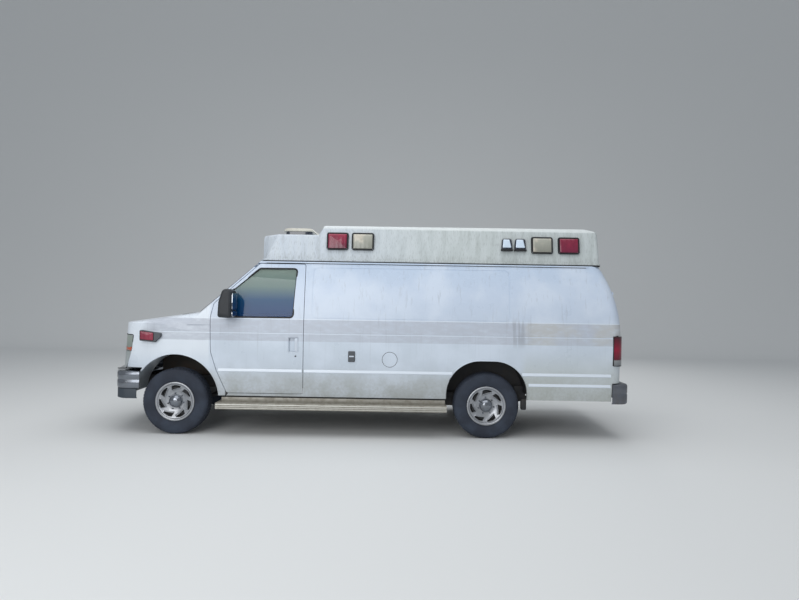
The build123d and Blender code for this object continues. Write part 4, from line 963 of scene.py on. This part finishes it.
# %% Door handles, locks and mirrors
CUP_SECTION = [(-3, -2), (-3, 2), (3, 1), (4, -12), (0, -14)]
PADDLE_STEPS = [(4, -20), (0, -14), (0, -3), (7, 2)]
MIRROR_HEAD = rounded(
    (-1584, 1330, 30), (-1424, 1323, 30), (-1424, 1600, 50), (-1450, 1641, 45), (-1530, 1641, 50),
    (-1575, 1500, 60))
HEAD_STEPS = [(14, 1020), (0, 1045), (0, 1210), (10, 1240), (28, 1250)]
ARM_ROWS = [(1362, 1400), (1520, 1556)]
PANE_ROWS = [(1412, 1596), (1342, 1398)]
for side, mark in SIDES.items():
    place, body = on_side(mark), f"door_front_{side}"
    put(f"handle_cup_{side}", [band(box_outline(-843, -734, 946, 1112, 20), CUP_SECTION, place)], PAINT, body)
    paddle = form(box_outline(-776, -738, 952, 1106, 14), PADDLE_STEPS, place, dome=2)
    put(f"door_handle_{side}", [paddle], WHITE_PLASTIC, body)
    lock = form(circle(-763, 903, 11), [(0, -3), (0, 1.5), (2, 2.5)], place, dome=0.5)
    put(f"key_cylinder_{side}", [lock], CHROME, body)
    # A black slot on the lock cylinder, painted shade in the keyway
    keyway_shade = form(box_outline(-765, -761, 896, 910, 1.5), [(0, 2), (0, 4)], place)
    put(f"key_slot_shade_{side}", [keyway_shade], SEAL, body)
    head = form(MIRROR_HEAD, HEAD_STEPS, from_middle(mark))
    arms = [slab((-1540, -1464), (mark * 975, mark * 1080), rows, 12) for rows in ARM_ROWS]
    sail = slab((-1600, -1462), (mark * 968, mark * 984), (1345, 1570), 6)
    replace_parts(put(f"mirror_body_{side}", [head, *arms, sail], PLASTIC), f"mirror_{side}")
    back = on_plane((-1424, mark * 1126, 0), (0, 1, 0), (0, 0, 1))
    panes = [form(box_outline(-88, 88, *rows, 18), [(0, -6), (0, 3), (2, 4)], back) for rows in PANE_ROWS]
    put(f"mirror_glass_{side}", panes, MIRROR)
cup = band(box_outline(0, 84, 960, 1100, 20), [(-3, -2), (-3, 2), (3, 2), (3, -2)], on_side(1))
paddle = form(box_outline(16, 68, 968, 1092, 14), [(0, -2), (0, 6), (5, 10)], on_side(1), dome=2)
put("cargo_handle", [cup, paddle], WHITE_PLASTIC, "cargo_door_front")
print("fitted the handles and mirrors")

# %% [markdown]
# ## The nose
# A composite headlamp is one clear moulding with an amber reflector set into it and a rubber gasket round it.
# The curved fender has no formula, so these strips are laid on by rays against the CAD parts.

# %% Headlamp trims and fender lamps
nose_skin = skin_of("headlamps", "front_fenders", "hood", "grille")
# Lines of the headlamp's gasket: in side view as (x, z) and in front view as (y, z)
SIDE_EDGE = [
    (-2800, 1110), (-2700, 1110), (-2618, 1110), (-2613, 1100), (-2618, 1040), (-2629, 950), (-2665, 840),
    (-2700, 735), (-2712, 726), (-2800, 726)]
FRONT_EDGE = [(795, 1110), (690, 1110), (578, 1110), (575, 920), (578, 727), (690, 726), (795, 726)]
AMBER_OUTLINE = rounded((-2735, 928, 6), (-2637, 928, 12), (-2627, 972, 10), (-2735, 972, 6))
WEDGE = rounded((-2510, 1050, 12), (-2340, 1033, 12), (-2272, 1100, 8), (-2272, 1136, 8), (-2510, 1170, 12))
WEDGE_LENS = rounded((-2500, 1066, 8), (-2352, 1054, 8), (-2352, 1140, 8), (-2500, 1158, 8))


def even_steps(knots, count):
    """Columns of points at even distances along a line through knots."""
    way = np.concatenate([[0], np.cumsum(np.linalg.norm(np.diff(knots, axis=0), axis=1))])
    return [np.interp(np.linspace(0, way[-1], count), way, column) for column in np.transpose(knots)]


for side, mark in SIDES.items():
    flank, front = on_skin(nose_skin, "y", mark), on_skin(nose_skin, "x", -1)
    gasket = tube(flank(*even_steps(SIDE_EDGE, 60), 0.5), 5)
    gasket_front = tube(front(*even_steps(np.array(FRONT_EDGE) * (mark, 1), 50), 0.5), 4)
    put(f"headlamp_gasket_{side}", [gasket, gasket_front], SEAL)
    put(f"headlamp_amber_{side}", [form(AMBER_OUTLINE, [(0, -1), (0, 3), (2, 4)], flank)], AMBER)
    place = from_middle(mark)
    put(f"fender_lamp_housing_{side}", [form(WEDGE, [(0, 930), (0, 1012), (5, 1020)], place)], CHARCOAL)
    lens = form(WEDGE_LENS, [(0, 1010), (0, 1023), (4, 1027)], place, dome=2)
    put(f"fender_lamp_lens_{side}", [lens], RED_LENS)
    rim = band(WEDGE_LENS, [(-5, 1016), (-5, 1023), (1, 1024), (1, 1016)], place)
    put(f"fender_lamp_rim_{side}", [rim], SEAL)
print("trimmed the headlamps")

# %% Mesh behind the grille's three windows
WINDOW_ROWS = [(758, 848), (872, 962), (986, 1066)]
NOSE_ARC = (800**2 + 177**2) / (2 * 177)


def nose_place(a, b, h):
    """Place (y, z, depth behind the nose): x follows the nose's plan arc and its lean."""
    return spots(-2945 + NOSE_ARC - np.sqrt(NOSE_ARC**2 - a**2) + 0.069 * (b - 700) + h, a, b)


slats = []
for z_from, z_to in WINDOW_ROWS:
    for y in np.arange(-510, 511, 30.0):
        slats.append(tube(nose_place(y, np.array([z_from - 6, z_to + 6]), 37), 3.5, 4))
    for z in np.linspace(z_from, z_to, 4)[1:-1]:
        slats.append(tube(nose_place(np.linspace(-530, 530, 24), z, 39), 3, 4))
put("grille_mesh", slats, PLASTIC)
# A near-black sheet behind the mesh, painted shade inside the grille
shade_sheet = form(box_outline(-540, 540, 750, 1090, 20), [(0, 78), (0, 70)], nose_place)
put("grille_shade_sheet", [shade_sheet], BLACK_AND_SHADE)
print("laid", len(slats), "grille slats")

# %% [markdown]
# ## Along the side
# Wheel openings end in a rolled flange, which shows as a bright rim. The fuel door has a dark gap round it,
# a black band in the gap as painted shade, and the hook-up for mains power is a plain charcoal flap. The
# running board's outer edge is an extrusion with three fine ribs, splash guards hang inside the rear arch,
# and a dark slab at the arch's front edge is painted shade over the floor seen past the wheel.

# %% Arch lips, running-board ribs and splash guards
FRONT_ARCH_Z, FRONT_ARCH_R = 421, 487
REAR_ARCH_Z, REAR_ARCH_R, REAR_ARCH_XS = 500, 384, (1313, 1469)
RIBS = [(1048, 356, 5), (1051, 336, 3), (1051, 316, 3)]
fender_skin = skin_of("front_fenders")
for side, mark in SIDES.items():
    turn = np.linspace(math.radians(136), math.radians(6), 40)
    x, z = FRONT_AXLE_X + FRONT_ARCH_R * np.cos(turn), FRONT_ARCH_Z + FRONT_ARCH_R * np.sin(turn)
    front_lip = tube(on_skin(fender_skin, "y", mark)(x, z, -2), 6)
    quarters = np.linspace(np.pi, np.pi / 2, 16), np.linspace(np.pi / 2, 0, 16)
    x = [middle + REAR_ARCH_R * np.cos(turn) for middle, turn in zip(REAR_ARCH_XS, quarters)]
    z = [REAR_ARCH_Z + REAR_ARCH_R * np.sin(turn) for turn in quarters]
    x, z = np.concatenate([[929], *x, [1853]]), np.concatenate([[450], *z, [450]])
    put(f"arch_lips_{side}", [front_lip, tube(on_side(mark)(x, z, -2), 6)], PAINT)
    ribs = [tube([(-1640, mark * y, z), (937, mark * y, z)], r) for y, z, r in RIBS]
    put(f"running_board_edge_{side}", ribs, BRIGHT_EDGE)
    guard = slab((1786, 1846), (mark * 880, mark * 945), (330, 452), 12)
    skirt = slab((1745, 1880), (mark * 700, mark * 716), (425, 570))
    # A dark slab at the arch's front edge, painted shade where the floor would show past the wheel
    shade_shield = slab((930, 1040), (mark * 690, mark * 706), (330, 480))
    put(f"guard_bracket_and_shade_slab_{side}", [guard, skirt, shade_shield], CHASSIS)
print("lined the arches")

# %% Fuel door gap and power inlet
left = on_side(-1)
# A black band in the gap round the fuel door, painted shade
gap = band(circle(294, 880, 84.5, 64), [(-2.4, -14), (-2.4, -2.5), (2.4, -2.5), (2.4, -14)], left)
put("fuel_door_gap_shade", [gap], SEAL)
inlet = form(box_outline(-172, -95, 848, 969, 10), [(0, -2), (0, 8), (5, 13)], left)
inlet_lid = form(box_outline(-164, -103, 856, 898, 6), [(0, 12), (0, 15), (2, 16)], left)
put("power_inlet", [inlet, inlet_lid], CHARCOAL)
strip = form(box_outline(-160, -107, 904, 918, 2), [(0, 12), (0, 14.5)], left)
put("power_inlet_strip", [strip], WHITE_PLASTIC)
print("dressed the driver's side")

# %% Upstands of the running boards, and black strips under the sills and the drip rail as painted shadow
for side, mark in SIDES.items():
    upstand = slab((-1600, 925), (mark * 938, mark * 946), (372, 424), 2)
    put(f"running_board_upstand_{side}", [upstand], ALUMINIUM)
    # A black strip under the sill, painted shadow below the body's lower edge
    put(f"sill_shadow_strip_{side}", [slab((-1560, 930), (mark * 925, mark * 933), (418, 452), 2)], CHASSIS)
    # A black line under the drip rail, painted shadow
    shadow_line = tube(on_side(mark)(np.linspace(-1130, 2520, 40), 1950, -0.5), 3.5)
    put(f"drip_rail_shadow_line_{side}", [shadow_line], SEAL)
print("closed the sills")

# %% [markdown]
# ## Bumpers
# The front bumper is one chromed steel pressing: a long front arc, round corners and straight ends. Its
# section is carried along that plan, so the top is closed by the pressing's own turned-in flange. The plastic
# valance below follows the same plan. The rear one is a folded step bumper with a flat tread on top.

# %% Bumpers from sections carried along a plan
BUMPER_CORNER, BUMPER_ARC = 150, 2100
BUMPER_SECTION = [
    (22, 508), (6, 514), (0, 530), (0, 590), (5, 604), (5, 616), (0, 630), (0, 678), (7, 697), (22, 705),
    (150, 706), (150, 700), (26, 698), (8, 680), (8, 532), (24, 514)]
VALANCE_SECTION = [
    (16, 396), (0, 404), (0, 500), (4, 507), (40, 507), (40, 500), (10, 498), (10, 408), (26, 404), (26, 396)]
TAIL_X, TAIL_HALF, TAIL_CORNER = 3006, 985, 120
TAIL_SECTION = [
    (26, 413), (10, 416), (2, 425), (0, 440), (0, 520), (4, 527), (4, 533), (0, 540), (0, 612), (3, 626),
    (11, 636), (24, 641), (170, 641), (170, 635), (26, 634), (10, 622), (7, 610), (7, 432), (26, 420)]


def mirrored(half):
    """Whole plan path from its half on the right, which ends on the middle line."""
    return np.vstack([half, half[-2::-1] * (1, -1)])


def front_path(nose_x, half_width, end_x):
    """Plan of the front bumper: straight end, round corner and long arc."""
    turn = math.asin((half_width - BUMPER_CORNER) / (BUMPER_ARC - BUMPER_CORNER))
    middle_x = nose_x + BUMPER_ARC
    corner_x = middle_x - (BUMPER_ARC - BUMPER_CORNER) * math.cos(turn)
    bend = np.linspace(np.pi / 2, np.pi - turn, 12)
    pivot = (corner_x, half_width - BUMPER_CORNER)
    corner = np.stack([np.cos(bend), np.sin(bend)], 1) * BUMPER_CORNER + pivot
    sweep = np.linspace(turn, 0, 20)[1:]
    front = np.stack([middle_x - BUMPER_ARC * np.cos(sweep), BUMPER_ARC * np.sin(sweep)], 1)
    return mirrored(np.vstack([[(end_x, half_width), (-2590, half_width)], corner, front]))


def carried(path, section):
    """Solid of a section (inset, z) carried along an open plan path, with both ends closed."""
    along = unit(np.gradient(path, axis=0))
    inside = np.stack([-along[:, 1], along[:, 0]], 1)
    inset, z = np.array(section, float).T
    x, y = (path[:, None] + inside[:, None] * inset[:, None]).transpose(2, 0, 1)
    return closed(spots(x, y, z))


def brackets(x_range, z_range):
    """Two arms that carry a bumper on the frame rails."""
    return [slab(x_range, (y - 30, y + 30), z_range) for y in (-392, 392)]


front_run = front_path(-3006, 990, -2517)
pressing = [carried(front_run, BUMPER_SECTION), *brackets((-2960, -2740), (560, 660))]
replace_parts(put("chromed_bumper", pressing, CHROME), "front_bumper")
valance = carried(front_path(-2998, 984, -2550), VALANCE_SECTION)
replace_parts(put("valance_panel", [valance], VALANCE_GREY), "front_valance")
bend = np.linspace(0, np.pi / 2, 12)
quarter = (TAIL_X, TAIL_HALF) - TAIL_CORNER * (1 - np.stack([np.sin(bend), np.cos(bend)], 1))
ends = [(2803, TAIL_HALF), (2850, TAIL_HALF)], [(TAIL_X, 420), (TAIL_X, 0)]
tail_run = mirrored(np.vstack([ends[0], quarter, ends[1]]))[::-1]
step_plate = [carried(tail_run, TAIL_SECTION), *brackets((2790, 2985), (480, 606))]
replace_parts(put("step_bumper", step_plate, GREY_BUMPER), "rear_bumper")
print("bumpers run through", len(front_run), "and", len(tail_run), "places")

# %% [markdown]
# ## The tail
# Rear doors of vans hang on outside hinges, one handle works both leaves, and the tail lamps sit in a gasket.

# %% Rear hinges, handle and tail-lamp gaskets
hinges, gaskets = [], []
for mark in SIDES.values():
    for z in (800, 1250, 1640):
        x = float(rear_face(z)) - 4
        hinges.append(tube([(x, mark * 812, z - 45), (x, mark * 812, z + 45)], 9, 14))
        hinges.append(slab((x - 6, x + 2), (mark * 812, mark * 868), (z - 36, z + 36), 2))
    edge = [(2801, mark * 1003, 850), (2801, mark * 1004, 1180), (2850, mark * 1003, 1183)]
    bottom = [
        (2803, mark * 1003, 850), (2850, mark * 1005, 850), (2890, mark * 985, 850),
        (2912, mark * 930, 850)]
    gaskets += [tube(edge, 8, 10), tube(bottom, 5)]
put("rear_hinges", hinges, PAINT)
put("tail_lamp_gaskets", gaskets, SEAL)
plate = form(box_outline(30, 150, 1010, 1170, 24), [(0, -2), (0, 4), (4, 8)], on_rear)
lever = form(box_outline(60, 120, 1040, 1140, 12), [(0, 6), (0, 16), (6, 20)], on_rear, dome=2)
put("rear_handle", [plate, lever], PLASTIC, "rear_door_right")
print("dressed the tail")

# %% [markdown]
# ## Underneath
# Front coil springs are a helix: x and y go round a circle while z climbs. Rear brakes are finned drums, and
# dampers are two tubes that slide in one another.

# %% Springs, drums and dampers
COIL_R, COIL_TURNS = 55, 6.5
coils, drums, dampers = [], [], []
for mark in SIDES.values():
    turn = np.linspace(0, COIL_TURNS * 2 * np.pi, 200)
    x, y = FRONT_AXLE_X + COIL_R * np.cos(turn), mark * 575 + COIL_R * np.sin(turn)
    coils.append(tube(spots(x, y, np.linspace(402, 640, 200)), 7))
    rows = np.array([(40, 770), (150, 770), (156, 778), (150, 784), (150, 826), (60, 826)]) * (1, mark)
    drums.append(turned(rows, (REAR_AXLE_X, 0, HUB_Z), 40))
    lower = [(REAR_AXLE_X - 90, mark * 560, 330), (REAR_AXLE_X - 150, mark * 560, 470)]
    upper = [(REAR_AXLE_X - 150, mark * 560, 465), (REAR_AXLE_X - 190, mark * 560, 600)]
    dampers += [tube(lower, 28, 16), tube(upper, 20, 16)]
put("front_coil_springs", coils, CHASSIS)
put("rear_brake_drums", drums, IRON)
put("rear_dampers", dampers, CHASSIS)
print("fitted the springs")

# %% [markdown]
# ## Seats, dashboard and cabinets
# Seats are foam under vinyl, crowned in the middle and drawn in at the welt. Their forms are padded pieces on
# the CAD seat's own places. Cabinets get doors with a shadow gap and a small pull.

# %% Seats and bench cushion
BACK_OUTLINE = rounded((-235, 0, 60), (235, 0, 60), (205, 640, 90), (-205, 640, 90))
BENCH_STEPS = [(10, 1080), (0, 1090), (0, 1120), (12, 1134)]
cushions = []
for middle in (-510, 510):
    seat_outline = box_outline(-1225, -790, middle - 240, middle + 240, 70)
    cushions.append(form(seat_outline, [(18, 822), (0, 850), (-4, 905), (14, 945)], spots, dome=34))
    cushions.append(slab((-1150, -800), (middle - 180, middle + 180), (646, 830), 12))
    back = on_plane((-745, middle, 880), (0, -1, 0), (0.19, 0, 0.98))
    cushions.append(form(BACK_OUTLINE, [(20, -50), (0, -30), (-4, 20), (16, 56)], back, dome=22))
seats = put("front_seat_cushions", cushions, VINYL)
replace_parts(seats, "front_seats")
bench_rows = ((640, 930, 540, 900), (950, 2280, 540, 860))
bench = [form(box_outline(*row, 40), BENCH_STEPS, spots, dome=12) for row in bench_rows]
put("bench_cushions", bench, VINYL)
print("padded the seats")

# %% Gauges, vents and cabinet doors
panel = on_plane((-1428, -500, 1196), (0, -1, 0), (-0.13, 0, 0.99))
dials = [form(circle(a, 20, 44), [(0, -4), (0, 4), (5, 6)], panel) for a in (-100, 0, 100)]
put("instrument_dials", dials, BLACK_AND_SHADE)
cowling = form(box_outline(-190, 190, -46, 88, 40), [(0, -12), (0, 2), (6, 3)], panel)
put("instrument_panel", [cowling], CAB_PLASTIC)
doors, pulls = [], []
cabinet_face = on_plane((0, -560, 0), (-1, 0, 0), (0, 0, 1))
for x_from, x_to in ((-590, -10), (10, 590), (610, 900), (1900, 2280)):
    for z_from, z_to in ((960, 1380), (1400, 1900)):
        door = box_outline(-x_to, -x_from, z_from, z_to, 10)
        pull = box_outline(-x_to + 30, -x_to + 50, z_from + 60, z_from + 160, 6)
        doors.append(form(door, [(0, -2), (0, 14), (3, 16)], cabinet_face))
        pulls.append(form(pull, [(0, 14), (0, 26), (3, 28)], cabinet_face))
put("cabinet_doors", doors, LAMINATE)
put("cabinet_pulls", pulls, CHROME)
print("hung", len(doors), "cabinet doors")

# %% [markdown]
# ## Floor, light and camera
# The studio is a pale floor that bends up into a backdrop, with soft area lights: a large one overhead, one
# beside the camera and a weak one on the far side. The camera stands at eye height, 7.7 m from the middle of
# the vehicle, and is tilted by less than a degree.

# %% Floor and backdrop
BEND_FROM, BEND_EASE = 9500, 2600
run = np.linspace(-24000, 16000, 90)[:, None]
rise = np.where(run > BEND_FROM, (run - BEND_FROM) ** 2 / BEND_EASE, 0)
grid = spots(np.linspace(-60000, 60000, 2), run, rise).reshape(-1, 3)
row = np.arange(len(run) - 1)[:, None] * 2
floor_mesh = bpy.data.meshes.new("studio_floor")
floor_mesh.from_pydata((grid * MM).tolist(), [], np.concatenate([row, row + 1, row + 3, row + 2], 1).tolist())
floor_mesh.polygons.foreach_set("use_smooth", np.ones(len(floor_mesh.polygons), bool))
floor_mesh.materials.append(finish("matt_backdrop_paper", "#DADCDC", 0.9))
floor = bpy.data.objects.new("studio_floor", floor_mesh)
bpy.context.scene.collection.objects.link(floor)
print("floor is", round(float(np.ptp(run)) * MM), "m deep")

# %% Lights and camera
LIGHTS = [
    # name, place in m, aim in m, size in m, power in W
    ("overhead", (0, -1.5, 7.5), (0, 0, 1), 9.0, 330),
    ("camera_side", (-3.5, -10.0, 4.0), (0, 0, 0.8), 6.0, 380),
    ("far_side", (2.0, 8.0, 5.5), (0, 0, 1.2), 5.0, 160),
]
for name, spot, aim, size, power in LIGHTS:
    light = bpy.data.lights.new(name, "AREA")
    light.size, light.energy = size, power
    lamp = bpy.data.objects.new(name, light)
    lamp.location = spot
    lamp.rotation_euler = (Vector(aim) - Vector(spot)).to_track_quat("-Z", "Y").to_euler()
    lamp.visible_camera = False
    bpy.context.scene.collection.objects.link(lamp)
world = bpy.data.worlds.new("studio_air")
world.use_nodes = True
world.node_tree.nodes["Background"].inputs[0].default_value = linear("#E4E9EF")
world.node_tree.nodes["Background"].inputs[1].default_value = 0.5
bpy.context.scene.world = world

CAMERA_PLACE = (0.393, -7.726, 1.551)
CAMERA_ROLL = -0.93
FOCAL_PX, WIDTH_PX, SENSOR = 600, 799, 36
camera_data = bpy.data.cameras.new("photographer")
camera_data.sensor_width = SENSOR
camera_data.lens = SENSOR * FOCAL_PX / WIDTH_PX
camera = bpy.data.objects.new("photographer", camera_data)
camera.location = CAMERA_PLACE
camera.rotation_euler = (math.radians(90), math.radians(CAMERA_ROLL), 0)
bpy.context.scene.collection.objects.link(camera)
bpy.context.scene.camera = camera
bpy.context.scene.view_settings.view_transform = "Standard"
print("camera lens", round(camera_data.lens, 2), "mm")
